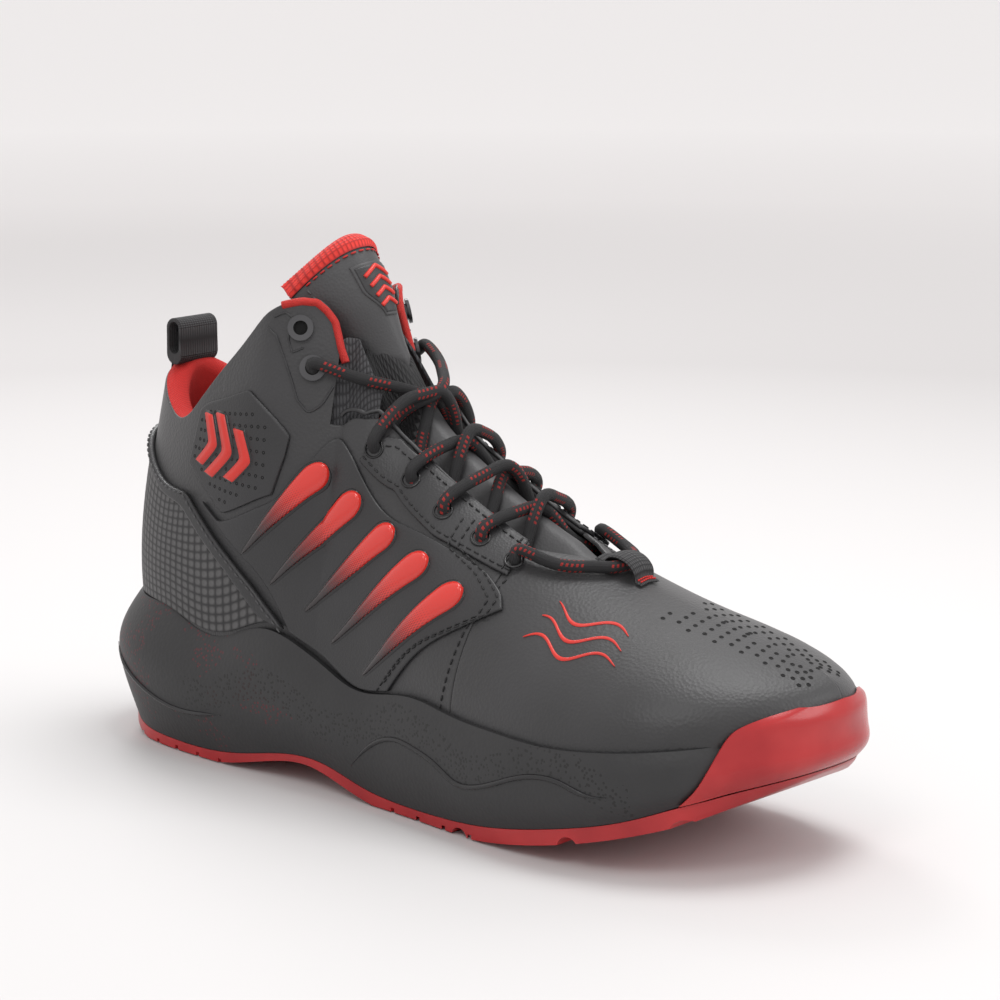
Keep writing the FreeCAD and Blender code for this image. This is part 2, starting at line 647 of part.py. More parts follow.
tongue_x = Spline([145, 149, 158, 172, 180], [-26.2, -28.6, -34.2, -44.0, -50.0])
tongue_half = Spline([0, 0.15, 0.3, 0.5, 0.75, 1.0], [13.3, 14.6, 16.0, 17.6, 19.2, 20.0])


def tongue_top_point(u, v, depth=0.0):
    """Free end of the tongue: u runs 0 to 1 up from the hinge, v -1 to 1 across."""
    def place(u, v):
        z = mix(151.0, 179.5, u)
        drop = mix(2.0, 19.5, u) * abs(v) ** 2.2
        back = 18.0 * v * v
        return Vector(tongue_x(z) - back + drop * 0.35, MIDDLE + tongue_half(u) * v, z - drop)
    e = 1e-3
    a = place(u + e, v) - place(u - e, v)
    b = place(u, v + e) - place(u, v - e)
    return place(u, v) + b.cross(a).normalize() * depth


def tongue_patch(u0, u1, v0, v1, inner, outer, na=9, nb=15):
    grids = [[[tongue_top_point(mix(u0, u1, i / (na - 1)), mix(v0, v1, k / (nb - 1)), depth)
               for k in range(nb)] for i in range(na)] for depth in (outer, inner)]
    return slab(*grids)


keep("tongue_top", tongue_patch(0.0, 0.90, -1, 1, -TONGUE_T, 0))
keep("tongue_binding", tongue_patch(0.91, 1.0, -1, 1, -TONGUE_T - 0.3, 0.3, 4))
keep("tongue_badge", tongue_patch(0.42, 0.80, -0.34, 0.34, 0.15, 1.3, 5, 7))


# ---- lace ---------------------------------------------------------------------------
TURN = 3.9              # radius of a turn through a hole
OUT, IN = 1.7 + LACE_R, -(SHELL + 0.4 + LACE_R)


def toward_ridge(side, s, t):
    step = skin(side, s, t + 0.02) - skin(side, s, t)
    n = normal(side, s, t)
    return (step - n * step.dot(n)).normalize()


def place_on(side, s, t, height):
    return skin(side, s, t, height)


def hole_turn(side, s, t, rising, span=TURN):
    """Centre line of a U-turn through a hole, from the inside out when rising."""
    c, n, d = skin(side, s, t, (OUT + IN) / 2), normal(side, s, t), toward_ridge(side, s, t)
    r = (OUT - IN) / 2
    c = c + d * r
    arc = [c - d * (r * math.cos(a)) - n * (r * math.sin(a)) for a in
           [math.radians(v) for v in (70, 35, 0, -35, -70)]]
    return arc if rising else arc[::-1]


def crossing(side, a, b, high):
    """Centre line over the tongue, from outside hole a on one side to inside hole b on the other."""
    top = a[0] < 0.4
    middle = (0.462 if top else mix(a[0], b[0], 0.5), 1.0)
    lift = tongue_face(*middle) + 0.3 + LACE_R + (2 * LACE_R + 0.4 if high else 0)
    rise = 4.4 if high else 0.0
    if top:
        return [place_on(side, 0.396, 0.748, OUT + rise * 0.2),
                place_on(side, 0.430, 0.87, mix(0.6, 3.0, high)),
                place_on(side, middle[0], 1.0, lift),
                place_on(-side, 0.458, 0.93, mix(lift, IN, 0.5)),
                place_on(-side, 0.450, 0.82, IN)]
    return [place_on(side, mix(a[0], middle[0], 0.42), 0.85, OUT + rise * 0.3),
            place_on(side, mix(a[0], middle[0], 0.72), 0.93, mix(OUT, lift, 0.6)),
            place_on(side, middle[0], 1.0, lift),
            place_on(-side, mix(middle[0], b[0], 0.3), 0.935, mix(lift, IN, 0.42)),
            place_on(-side, mix(middle[0], b[0], 0.6), 0.86, IN + 0.1)]


def lace_path():
    top = EYELETS[1]
    side = -1
    n, d = normal(side, *top), toward_ridge(side, *top)
    path = [skin(side, *top, -9), skin(side, *top, -3), skin(side, *top, 1.6),
            skin(side, *top, 4.2) + d * 1.6]
    here = top
    for k, hole in enumerate(LACE_HOLES):
        path += crossing(side, here, hole, False)
        side = -side
        path += hole_turn(side, *hole, True)
        here = hole
    bar = [place_on(side, 0.640, 0.80, 2.9), place_on(side, 0.668, 0.88, 2.6), place_on(side, 0.682, 0.94, 2.5)]
    path += bar + [place_on(side, 0.687, 1.0, 2.5)]
    side = -side
    path += [place_on(side, 0.682, 0.94, 2.5), place_on(side, 0.668, 0.88, 2.6), place_on(side, 0.640, 0.80, 2.9)]
    for hole, nxt in zip(LACE_HOLES[::-1], LACE_HOLES[-2::-1] + [top]):
        path += hole_turn(side, *hole, False)
        path += crossing(-side, nxt, hole, True)[::-1]
        side = -side
    n, d = normal(side, *top), toward_ridge(side, *top)
    path += [skin(side, *top, 4.2) + d * 1.6, skin(side, *top, 1.6), skin(side, *top, -3), skin(side, *top, -9)]
    return path


def tube(points, radius, step=1.5):
    """Round tube along a smooth line through the points, and that line."""
    curve = Part.BSplineCurve()
    curve.interpolate(points)
    count = round(curve.length() / step)
    line = curve.discretize(count + 1)
    across_line = Vector(1, 0, 0).cross(line[1] - line[0]).normalize()
    halves = [[], []]
    for i, point in enumerate(line):
        ahead = (line[min(i + 1, count)] - line[max(i - 1, 0)]).normalize()
        across_line = (across_line - ahead * across_line.dot(ahead)).normalize()
        third = ahead.cross(across_line)
        ring = [point + (across_line * math.cos(a) + third * math.sin(a)) * (radius * 1.045)
                for a in [math.pi * k / 6 for k in range(12)]]
        halves[0].append(ring[:7])
        halves[1].append(ring[6:] + ring[:1])
    sides = [surface(half) for half in halves]
    caps = []
    for k in (0, -1):
        arcs = [surface_edge(half[k]) for half in halves]
        caps.append(Part.Face(Part.Wire(arcs)))
    return closed(sides + caps), curve


def surface_edge(row):
    """The edge that surface() gives to a row of poles."""
    degree = min(3, len(row) - 1)
    kv, mv = knots(len(row), degree)
    curve = Part.BSplineCurve()
    curve.buildFromPolesMultsKnots(row, mv, kv, False, degree)
    return curve.toShape()


laces, lace_line = tube(lace_path(), LACE_R)
keep("laces", laces)
print("lace length", round(lace_line.length()), "radius", LACE_R)


def keeper_height(s):
    return 0.2 + 4.9 * (1 - min(1.0, abs(s - 0.687) / 0.018) ** 2) ** 0.5 * smooth(0.0185, 0.012, abs(s - 0.687))


def keeper_grid(extra):
    return [[skin(-1 if t <= 1 else 1, s, min(t, 2 - t), keeper_height(s) + extra)
             for t in [0.955 + 0.09 * k / 6 for k in range(7)]] for s in [0.664 + 0.046 * i / 22 for i in range(23)]]


keep("lace_keeper", slab(keeper_grid(1.0), keeper_grid(0.0)))

rings = []
for side in (-1, 1):
    for s, t in EYELETS:
        base, n = skin(side, s, t, -5.7), normal(side, s, t)
        ring = Part.makeCylinder(3.0, 7.2, base, n).fuse(Part.makeCylinder(4.3, 1.0, base + n * 6.2, n))
        rings.append(ring.cut(Part.makeCylinder(EYELET_R, 20, base - n * 5, n)))
keep("eyelet_rings", Part.makeCompound(rings))


# ---- pull tab -------------------------------------------------------------------------
TAB_X, TAB_Z = -127.0, 133.6
TAB_OUT, TAB_IN = 4.6, 3.0
TAB_Y, TAB_W = -7.0, 18.0


def stadium(radius, low, high):
    """Closed outline in the XZ plane: two half circles joined by straight sides."""
    a, b = Vector(TAB_X, TAB_Y, low), Vector(TAB_X, TAB_Y, high)
    right, up = Vector(radius, 0, 0), Vector(0, 0, radius)
    edges = [Part.Arc(a - right, a - up, a + right).toShape(), Part.LineSegment(a + right, b + right).toShape(),
             Part.Arc(b + right, b + up, b - right).toShape(), Part.LineSegment(b - right, a - right).toShape()]
    return Part.Face(Part.Wire(edges)).extrude(Vector(0, TAB_W, 0))


keep("pull_tab", stadium(TAB_OUT, TAB_Z, TAB_Z + 7.2).cut(stadium(TAB_IN, TAB_Z + 3.2, TAB_Z + 7.2)))


# ---- painted mark on the vamp ------------------------------------------------------------
strokes = []
for k, lift in enumerate((0.0, 0.085, 0.17)):
    wave = [(0.655 + 0.006 * k + 0.011 * i, 0.49 + lift + 0.035 * math.sin(1.1 * i + k) + 0.005 * i)
            for i in range(10 - k)]
    strokes.append(panel_rows(-1, wave, shrink(wave, 0.0, 0.016), 0.1, 0.45))
keep("vamp_graphic", Part.makeCompound(strokes))


os.makedirs("parts", exist_ok=True)
for name, shape in PARTS.items():
    shape.exportStep(f"parts/{name}.step")
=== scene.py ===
import math

import bpy
import numpy as np
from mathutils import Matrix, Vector


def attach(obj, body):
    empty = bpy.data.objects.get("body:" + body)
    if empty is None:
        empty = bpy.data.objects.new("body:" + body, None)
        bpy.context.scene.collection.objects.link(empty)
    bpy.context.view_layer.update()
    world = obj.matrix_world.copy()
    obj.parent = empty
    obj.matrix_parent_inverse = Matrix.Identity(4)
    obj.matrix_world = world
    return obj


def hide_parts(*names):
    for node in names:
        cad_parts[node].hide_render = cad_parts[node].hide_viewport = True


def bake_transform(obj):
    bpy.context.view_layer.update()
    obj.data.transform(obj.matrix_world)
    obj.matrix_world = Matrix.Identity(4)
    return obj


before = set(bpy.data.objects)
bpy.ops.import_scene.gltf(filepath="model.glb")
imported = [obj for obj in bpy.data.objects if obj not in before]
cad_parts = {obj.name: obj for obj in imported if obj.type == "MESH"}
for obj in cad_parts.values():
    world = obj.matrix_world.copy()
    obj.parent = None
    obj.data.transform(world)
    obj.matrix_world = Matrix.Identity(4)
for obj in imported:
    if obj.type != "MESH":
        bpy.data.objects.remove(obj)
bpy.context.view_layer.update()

MM = 0.001

# ---- camera, world, lights ----------------------------------------------------
def aim(obj, target):
    obj.rotation_euler = (Vector(target) - obj.location).to_track_quat("-Z", "Y").to_euler()


camera = bpy.data.objects.new("camera", bpy.data.cameras.new("camera"))
camera.data.sensor_width = 36.0
camera.data.lens = 118.634
camera.data.clip_start = 0.05
camera.location = (0.708433, -0.793886, 0.311999)
aim(camera, (0.01658, 0.002, 0.09827))
bpy.context.scene.collection.objects.link(camera)
bpy.context.scene.camera = camera
bpy.context.scene.view_settings.view_transform = "Standard"
bpy.context.scene.view_settings.look = "None"

world = bpy.data.worlds.new("studio")
bpy.context.scene.world = world
world.use_nodes = True
world.node_tree.nodes["Background"].inputs[0].default_value = (1.0, 0.972, 0.968, 1.0)
world.node_tree.nodes["Background"].inputs[1].default_value = 0.93


def area_light(name, place, target, size, power):
    data = bpy.data.lights.new(name, "AREA")
    data.shape = "DISK"
    data.size = size
    data.energy = power
    light = bpy.data.objects.new(name, data)
    light.location = place
    aim(light, target)
    bpy.context.scene.collection.objects.link(light)


area_light("key", (0.3, -0.9, 1.1), (0, 0, 0.06), 0.5, 2.6)
area_light("back", (-0.8, 0.5, 0.8), (0, 0, 0.10), 0.45, 3.6)
area_light("fill", (1.0, 0.4, 0.6), (0, 0, 0.05), 0.5, 2.4)
area_light("top", (0.15, 0.25, 1.15), (0, 0, 0.08), 0.6, 6.5)

# ---- the master surface, as in the part: stations 0 heel to 1 toe, heights 0 foot to 1 rim ---
LATERAL = [(-150, 2), (-143.5, -20), (-125, -35), (-95, -41), (-60, -41.5), (-20, -42), (20, -46),
           (55, -51), (85, -52), (112, -46.5), (134, -31), (146.5, -10), (150, 11)]
MEDIAL = [(-150, 2), (-143.5, 22), (-125, 36.5), (-95, 41), (-60, 38.5), (-20, 38), (20, 42.5),
          (55, 49.5), (85, 52), (112, 49.5), (133, 42), (146, 29), (150, 11)]
EDGE = [(-150, 50), (-125, 50), (-105, 49.5), (-86, 45.5), (-69, 47), (-50, 52), (-38, 48.5),
        (-25, 43.5), (-12, 37.5), (1, 38.5), (20, 41), (36, 38.5), (50, 37.8), (66, 37), (81, 36.8),
        (96, 38), (114, 40), (130, 42), (150, 43)]
BOARD = [(-150, 24), (-100, 23), (-60, 24), (-20, 22), (20, 18), (60, 18), (90, 21), (120, 27), (150, 33)]
BOND = [(-150, 10), (-138, 7), (-125, 4.4), (-110, 3.6), (-82, 3.6), (-66, 5.5), (-44, 9.8), (-35, 10.4),
        (-23, 8.9), (-10, 5.2), (0, 3.8), (28, 3.6), (47, 5), (64, 7.6), (88, 12.6), (111, 18.6),
        (126, 24.2), (150, 31)]
RIBS = [
    (-150, (-131.5, 2, 132), (3, 28), (-4, 0, -32)),
    (-135, (-122, -15, 126), (3, 28), (-4, -4, -30)),
    (-112, (-104, -25, 118.5), (3, 26), (-2, -5, -28)),
    (-85, (-84, -29, 129.5), (2, 28), (0, -6, -30)),
    (-64, (-64, -29, 147), (1, 30), (1, -8, -34)),
    (-50, (-52.5, -24, 161.5), (0, 32), (3, -9, -38)),
    (-40, (-47, -13, 170.5), (0, 32), (8, -14, -36)),
    (-30, (-45, 2, 175), (0, 32), (16, -20, -32)),
    (-15, (-22, 2, 139), (1, 30), (10, -28, -14)),
    (5, (-0.5, 2, 115.5), (2, 28), (6, -33, -7)),
    (30, (28.5, 2, 99), (3, 25), (4, -31, -6)),
    (58, (58, 3, 86), (4, 23), (2, -30, -4)),
    (88, (88, 5, 75.5), (4, 22), (2, -30, -3)),
    (114, (114, 7, 68.5), (4, 21), (4, -25, -2)),
    (134, (130.5, 9, 63), (4, 16), (7, -18, -3)),
    (146, (137, 10, 60.5), (3, 12), (11, -8, -4)),
    (150, (139, 11, 60), (3, 11), (12, 0, -5)),
]
RIDGE_RIB = 7
MIDDLE = 2.0


class Spline:
    """Cubic spline with free ends, for arrays."""

    def __init__(self, t, y):
        self.t, self.y = np.array(t, float), np.array(y, float)
        n, h = len(self.t), np.diff(self.t)
        rows, rhs = np.eye(n), np.zeros(n)
        for i in range(1, n - 1):
            rows[i, i - 1:i + 2] = h[i - 1], 2 * (h[i - 1] + h[i]), h[i]
            rhs[i] = 6 * ((self.y[i + 1] - self.y[i]) / h[i] - (self.y[i] - self.y[i - 1]) / h[i - 1])
        self.m = np.linalg.solve(rows, rhs)

    def __call__(self, x):
        x = np.clip(x, self.t[0], self.t[-1])
        i = np.clip(np.searchsorted(self.t, x, side="right") - 1, 0, len(self.t) - 2)
        h = self.t[i + 1] - self.t[i]
        a, b = (self.t[i + 1] - x) / h, (x - self.t[i]) / h
        bend = (a ** 3 - a) * self.m[i] + (b ** 3 - b) * self.m[i + 1]
        return a * self.y[i] + b * self.y[i + 1] + bend * h * h / 6


def smooth(a, b, x):
    w = np.clip((x - a) / (b - a), 0.0, 1.0)
    return w * w * (3 - 2 * w)


def mix(a, b, w):
    return a + (b - a) * w


edge_z, board_z, bond_z = Spline(*zip(*EDGE)), Spline(*zip(*BOARD)), Spline(*zip(*BOND))
_steps = [(math.dist(a, b) + math.dist(c, d)) / 2
          for a, b, c, d in zip(LATERAL, LATERAL[1:], MEDIAL, MEDIAL[1:])]
_stations = [sum(_steps[:i]) / sum(_steps) for i in range(len(LATERAL))]


def _ring_spline(axis):
    lateral = [(s, p[axis]) for s, p in zip(_stations, LATERAL)]
    medial = [(-s, p[axis]) for s, p in zip(_stations, MEDIAL)][1:]
    beyond = [(2 - s, p[axis]) for s, p in zip(_stations, MEDIAL)][-5:-1]
    before = [(-2 + s, p[axis]) for s, p in zip(_stations, LATERAL)][-5:-1]
    return Spline(*zip(*sorted(before + medial + lateral + beyond)))


ring_x, ring_y = _ring_spline(0), _ring_spline(1)


def plan(side, s, inset=0.0):
    u = -side * s
    dx, dy = ring_x(u + 1e-4) - ring_x(u - 1e-4), ring_y(u + 1e-4) - ring_y(u - 1e-4)
    size = np.hypot(dx, dy)
    nx, ny = dy / size, -dx / size
    return ring_x(u) - nx * inset, ring_y(u) - ny * inset, nx, ny


_fine = np.linspace(0, 1, 4001)


def station_at(x):
    return float(np.interp(x, ring_x(_fine), _fine))


_rib_s = [0.0] + [station_at(rib[0]) for rib in RIBS[1:-1]] + [1.0]


def even_spline(value):
    v = [value(i) for i in range(len(RIBS))]
    s = [-a for a in _rib_s[4:0:-1]] + _rib_s + [2 - a for a in _rib_s[-2:-6:-1]]
    return Spline(s, v[4:0:-1] + v + v[-2:-6:-1])


def odd_spline(value):
    v = [value(i) for i in range(RIDGE_RIB + 1)]
    f = Spline([-a for a in _rib_s[4:0:-1]] + _rib_s[:RIDGE_RIB + 1], [-a for a in v[4:0:-1]] + v)
    return lambda s: np.where(s < _rib_s[RIDGE_RIB], f(s), 0.0)


top_x = even_spline(lambda i: RIBS[i][1][0])
top_z = even_spline(lambda i: RIBS[i][1][2])
top_mid = even_spline(lambda i: RIBS[i][1][1] if i >= RIDGE_RIB else MIDDLE)
top_half = odd_spline(lambda i: MIDDLE - RIBS[i][1][1])
foot_out = even_spline(lambda i: RIBS[i][2][0])
foot_up = even_spline(lambda i: RIBS[i][2][1])
head_x, head_y, head_z = [even_spline(lambda i, k=k: RIBS[i][3][k]) for k in range(3)]


def upper(side, s, t):
    """Master surface for arrays of side, station and height."""
    x0 = plan(side, s)[0]
    x, y, nx, ny = plan(side, s, 5.0 + 6.0 * smooth(-60, -130, x0))
    z = edge_z(x0) - 5.0
    out, up = foot_out(s), foot_up(s)
    drop = np.minimum(t, 0) * (z - board_z(x)) / up
    below = np.stack([x + nx * out * drop, y + ny * out * drop, z + up * drop], -1)
    a = np.stack([x, y, z], -1)
    b = np.stack([x + nx * out, y + ny * out, z + up], -1)
    d = np.stack([top_x(s), top_mid(s) + side * top_half(s), top_z(s)], -1)
    c = d + np.stack([head_x(s), -side * head_y(s), head_z(s)], -1)
    w = np.maximum(t, 0)[..., None]
    above = (1 - w) ** 3 * a + 3 * w * (1 - w) ** 2 * b + 3 * w * w * (1 - w) * c + w ** 3 * d
    return np.where(t[..., None] < 0, below, above)


def across(side, s, t):
    flip = s < 0
    side, s = np.where(flip, -side, side), np.where(flip, -s, s)
    flip = s > 1
    side, s = np.where(flip, -side, side), np.where(flip, 2 - s, s)
    flip = (t > 1) & (s >= _rib_s[RIDGE_RIB])
    return upper(np.where(flip, -side, side), s, np.where(flip, 2 - t, t))


def skin(side, s, t, offset=0.0):
    """Points offset outwards from the master surface, and their normals, in mm."""
    side, s, t, offset = np.broadcast_arrays(*[np.asarray(v, float) for v in (side, s, t, offset)])
    near = np.where((s > 0.985) & (t > 0.97), 0.985, s)
    e = 2e-3
    a = across(side, near + e, t) - across(side, near - e, t)
    b = across(side, near, t + 2 * e) - across(side, near, t - 2 * e)
    n = np.cross(a, b) * -side[..., None]
    n /= np.maximum(np.linalg.norm(n, axis=-1, keepdims=True), 1e-9)
    return across(side, s, t) + n * offset[..., None], n


def xyz(side, s, t, offset=0.0):
    return skin(side, s, t, offset)[0]


def run_length(points):
    """Length along a polyline up to each of its points."""
    return np.concatenate([[0], np.cumsum(np.linalg.norm(np.diff(points, axis=0), axis=1))])


def sample(where, marks, points):
    """A polyline with a mark for each point, interpolated at other marks."""
    return np.stack([np.interp(where, marks, column) for column in np.transpose(points)], -1)


def along(points, count):
    """count points evenly spaced along a polyline."""
    run = run_length(points)
    return sample(np.linspace(0, run[-1], count), run, points)


def soften(points, count=41, passes=2):
    """A polyline resampled with its corners rounded."""
    p = along(points, count)
    for _ in range(passes):
        p[1:-1] = (p[:-2] + 2 * p[1:-1] + p[2:]) / 4
    return p


# ---- meshes -----------------------------------------------------------------
STATION_M, HEIGHT_M = 0.33, 0.11  # metres per unit of station and of height, for textures


def pair(a, b):
    return np.stack(np.broadcast_arrays(a, b), -1)


def flat_uv(s, t):
    return pair(s * STATION_M, t * HEIGHT_M)


def add_mesh(name, points, faces, keys, face_slots=None, uv=None, body="shoe"):
    """Mesh object from points in mm, with the materials of those keys, that rides on a body."""
    mesh = bpy.data.meshes.new(name)
    mesh.from_pydata((np.reshape(points, (-1, 3)) * MM).tolist(), [], faces)
    mesh.polygons.foreach_set("use_smooth", [True] * len(mesh.polygons))
    for key in keys.split():
        mesh.materials.append(M[key])
    if face_slots is not None:
        mesh.polygons.foreach_set("material_index", face_slots)
    if uv is not None:
        layer = mesh.uv_layers.new(name="UVMap")
        index = np.zeros(len(mesh.loops), int)
        mesh.loops.foreach_get("vertex_index", index)
        layer.data.foreach_set("uv", np.reshape(uv, (-1, 2))[index].ravel())
    mesh.update()
    obj = bpy.data.objects.new(name, mesh)
    bpy.context.scene.collection.objects.link(obj)
    if body:
        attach(obj, body)
    return obj


def grid_faces(rows, cols, start=0, flip=False):
    faces = []
    for i in range(rows - 1):
        for k in range(cols - 1):
            a = start + i * cols + k
            face = (a, a + 1, a + cols + 1, a + cols)
            faces.append(face[::-1] if flip else face)
    return faces


def closed_sheet(outer, inner, inner_slot):
    """Points, faces and material slots of a closed slab between two grids."""
    rows, cols = outer.shape[:2]
    n = rows * cols
    faces = grid_faces(rows, cols) + grid_faces(rows, cols, n, True)
    half = len(faces) // 2
    index = np.arange(n).reshape(rows, cols)
    rim = np.concatenate([index[0], index[1:, -1], index[-1, -2::-1], index[-2:0:-1, 0]]).tolist()
    for a, b in zip(rim, rim[1:] + rim[:1]):
        faces.append((b, a, a + n, b + n))
    return [outer, inner], faces, [0] * half + [inner_slot] * half + [0] * len(rim)


def rounding(radius, distance):
    """Depth of a rounded edge at a distance from its end."""
    return radius - np.sqrt(np.maximum(radius ** 2 - np.maximum(radius - distance, 0) ** 2, 0))


def slab_mesh(name, place, outer_off, inner_off, keys, radius, body, uv=None, inner_slot=0,
              flip=False):
    """Closed sheet with rounded edges; place(offset) gives its grid of points in mm at that offset."""
    base = place(0.0)
    down = np.cumsum(np.linalg.norm(np.diff(base, axis=0, prepend=base[:1]), axis=-1), 0)
    over = np.cumsum(np.linalg.norm(np.diff(base, axis=1, prepend=base[:, :1]), axis=-1), 1)
    edge = np.minimum(np.minimum(down, down[-1:] - down), np.minimum(over, over[:, -1:] - over))
    fall = rounding(radius, edge)
    inner_fall = np.minimum(fall, abs(np.mean(outer_off - inner_off)) * 0.45)
    points, faces, slots = closed_sheet(place(outer_off - fall), place(inner_off + inner_fall), inner_slot)
    if flip:
        faces = [f[::-1] for f in faces]
    return add_mesh(name, points, faces, keys, slots, None if uv is None else [uv, uv], body)


def spread(count, length, radius):
    """Values 0..1 with extra ones close to both ends, for a rounded edge on a strip of that length."""
    ends = np.array([0, 0.07, 0.3, 0.65, 1.0]) * radius / max(length, 4 * radius)
    middle = np.linspace(ends[-1], 1 - ends[-1], max(count, 3))[1:-1]
    return np.concatenate([ends, middle, 1 - ends[::-1]])


def region(low, high, nu, nv, radius, side):
    """Stations and heights of a grid ruled between two polylines, denser at its edges."""
    w = np.linspace(0, 1, 81)
    lo, hi = soften(low, len(w)), soften(high, len(w))
    a, b = [xyz(side, p[:, 0], np.minimum(p[:, 1], 1.0)) for p in (lo, hi)]
    u = spread(nu, run_length((a + b) / 2)[-1], radius)
    v = spread(nv, np.linalg.norm(b - a, axis=-1).mean(), radius)
    grid = mix(sample(u, w, lo)[:, None], sample(u, w, hi)[:, None], v[None, :, None])
    return grid[..., 0], grid[..., 1]


def panel(name, side, low, high, inner, outer, keys, nu, nv, radius, replaced, inner_slot=0):
    """Leather or textile panel on the upper between two polylines of (station, height)."""
    s, t = region(low, high, nu, nv, radius, side)

    def place(offset):
        return xyz(side, s, t, offset)
    obj = slab_mesh(name, place, outer, inner, keys, radius, "shoe", flat_uv(s, t), inner_slot,
                    side > 0)
    for node in replaced:
        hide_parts(node)


def around_heel(points):
    return [(-s, t) for s, t in points[:0:-1]] + points


def tube_mesh(name, path, radius, key, sides=8, body="shoe", cap=True):
    """Round tube along a path in mm, with crosswise and lengthwise texture coordinates."""
    ahead = np.gradient(path, axis=0)
    ahead /= np.linalg.norm(ahead, axis=1, keepdims=True)
    ref = np.cross([0.3, 0.2, 1.0], ahead[0])
    angle = np.linspace(0, 2 * math.pi, sides + 1)
    rings = []
    for p, d, r in zip(path, ahead, np.broadcast_to(radius, len(path))):
        ref = ref - d * ref.dot(d)
        ref /= np.linalg.norm(ref)
        rings.append(p + (np.outer(np.cos(angle), ref) + np.outer(np.sin(angle), np.cross(d, ref))) * r)
    faces = grid_faces(len(path), sides + 1)
    if cap:
        last = (len(path) - 1) * (sides + 1)
        faces += [tuple(range(sides))[::-1], tuple(range(last, last + sides))]
    uv = pair(angle / (2 * math.pi), run_length(path)[:, None] * 0.1)
    return add_mesh(name, rings, faces, key, None, uv, body)


def surface_tube(name, side, line, count, offset, radius, key="overlay", sides=8):
    """Tube laid along a softened polyline of (station, height)."""
    p = soften(line, count)
    return tube_mesh(name, xyz(side, p[:, 0], p[:, 1], offset), radius, key, sides, "shoe")


def smooth_path(points, step):
    """Cubic spline through points, with centripetal spacing, sampled evenly."""
    t = np.cumsum(np.sqrt(np.diff(run_length(points), prepend=0)))
    fine = np.linspace(0, t[-1], 60 * len(points))
    line = np.stack([Spline(t, column)(fine) for column in np.transpose(points)], -1)
    return along(line, int(run_length(line)[-1] / step))


STITCHES = {}


def stitch(side, line, offset, kind="thread_dark"):
    """Row of stitches along a polyline of (station, height), on a surface at that offset."""
    p = soften(line, 200, 1)
    add_stitches(*skin(side, p[:, 0], p[:, 1], offset), kind=kind)


def add_stitches(points, normals, pitch=3.1, length=2.1, radius=0.34, kind="thread_dark", body="shoe"):
    run = run_length(points)
    for u in np.arange(pitch / 2, run[-1] - pitch / 4, pitch):
        a, b = sample([u - length / 2, u + length / 2], run, points)
        STITCHES.setdefault((kind, body), []).append((a, b, sample(u, run, normals), radius))


def build_stitches():
    """One mesh for each thread and body: every stitch is a tapered cord of five six-sided rings."""
    rings, corners = ((0, 0.35), (0.14, 0.85), (0.5, 1.0), (0.86, 0.85), (1, 0.35)), 6
    for (kind, body), items in STITCHES.items():
        points, faces = [], []
        for a, b, n, r in items:
            d = (b - a) / max(np.linalg.norm(b - a), 1e-6)
            n = n - d * n.dot(d)
            n /= np.linalg.norm(n)
            m = np.cross(d, n)
            base = len(points)
            for w, k in rings:
                c = a + (b - a) * w + n * (r * (0.55 if 0.1 < w < 0.9 else -0.1))
                for j in range(corners):
                    g = 2 * math.pi * j / corners
                    points.append(c + (m * math.cos(g) + n * math.sin(g)) * r * k)
            last = base + corners * (len(rings) - 1)
            for q in range(base, last, corners):
                for j in range(corners):
                    i = (j + 1) % corners
                    faces.append((q + j, q + i, q + corners + i, q + corners + j))
            faces.append(tuple(range(base, base + corners))[::-1])
            faces.append(tuple(range(last, last + corners)))
        add_mesh(f"stitches_{kind}_{body}", points, faces, kind, body=body)


# ---- materials ----------------------------------------------------------------
class Wire:
    """A shader value; arithmetic on it adds math nodes."""

    def __init__(self, tree, socket):
        self.tree, self.socket = tree, socket

    def step(self, operation, *others):
        n = self.tree.nodes.new("ShaderNodeMath")
        n.operation = operation
        self.tree.links.new(self.socket, n.inputs[0])
        for entry, value in zip(n.inputs[1:], others):
            if isinstance(value, Wire):
                self.tree.links.new(value.socket, entry)
            else:
                entry.default_value = value
        return Wire(self.tree, n.outputs[0])

    def __add__(self, other):
        return self.step("ADD", other)

    def __sub__(self, other):
        return self.step("SUBTRACT", other)

    def __mul__(self, other):
        return self.step("MULTIPLY", other)

    def __lt__(self, other):
        return self.step("LESS_THAN", other)

    def __gt__(self, other):
        return self.step("GREATER_THAN", other)

    def sine(self):
        return self.step("SINE")

    def size(self):
        return self.step("ABSOLUTE")


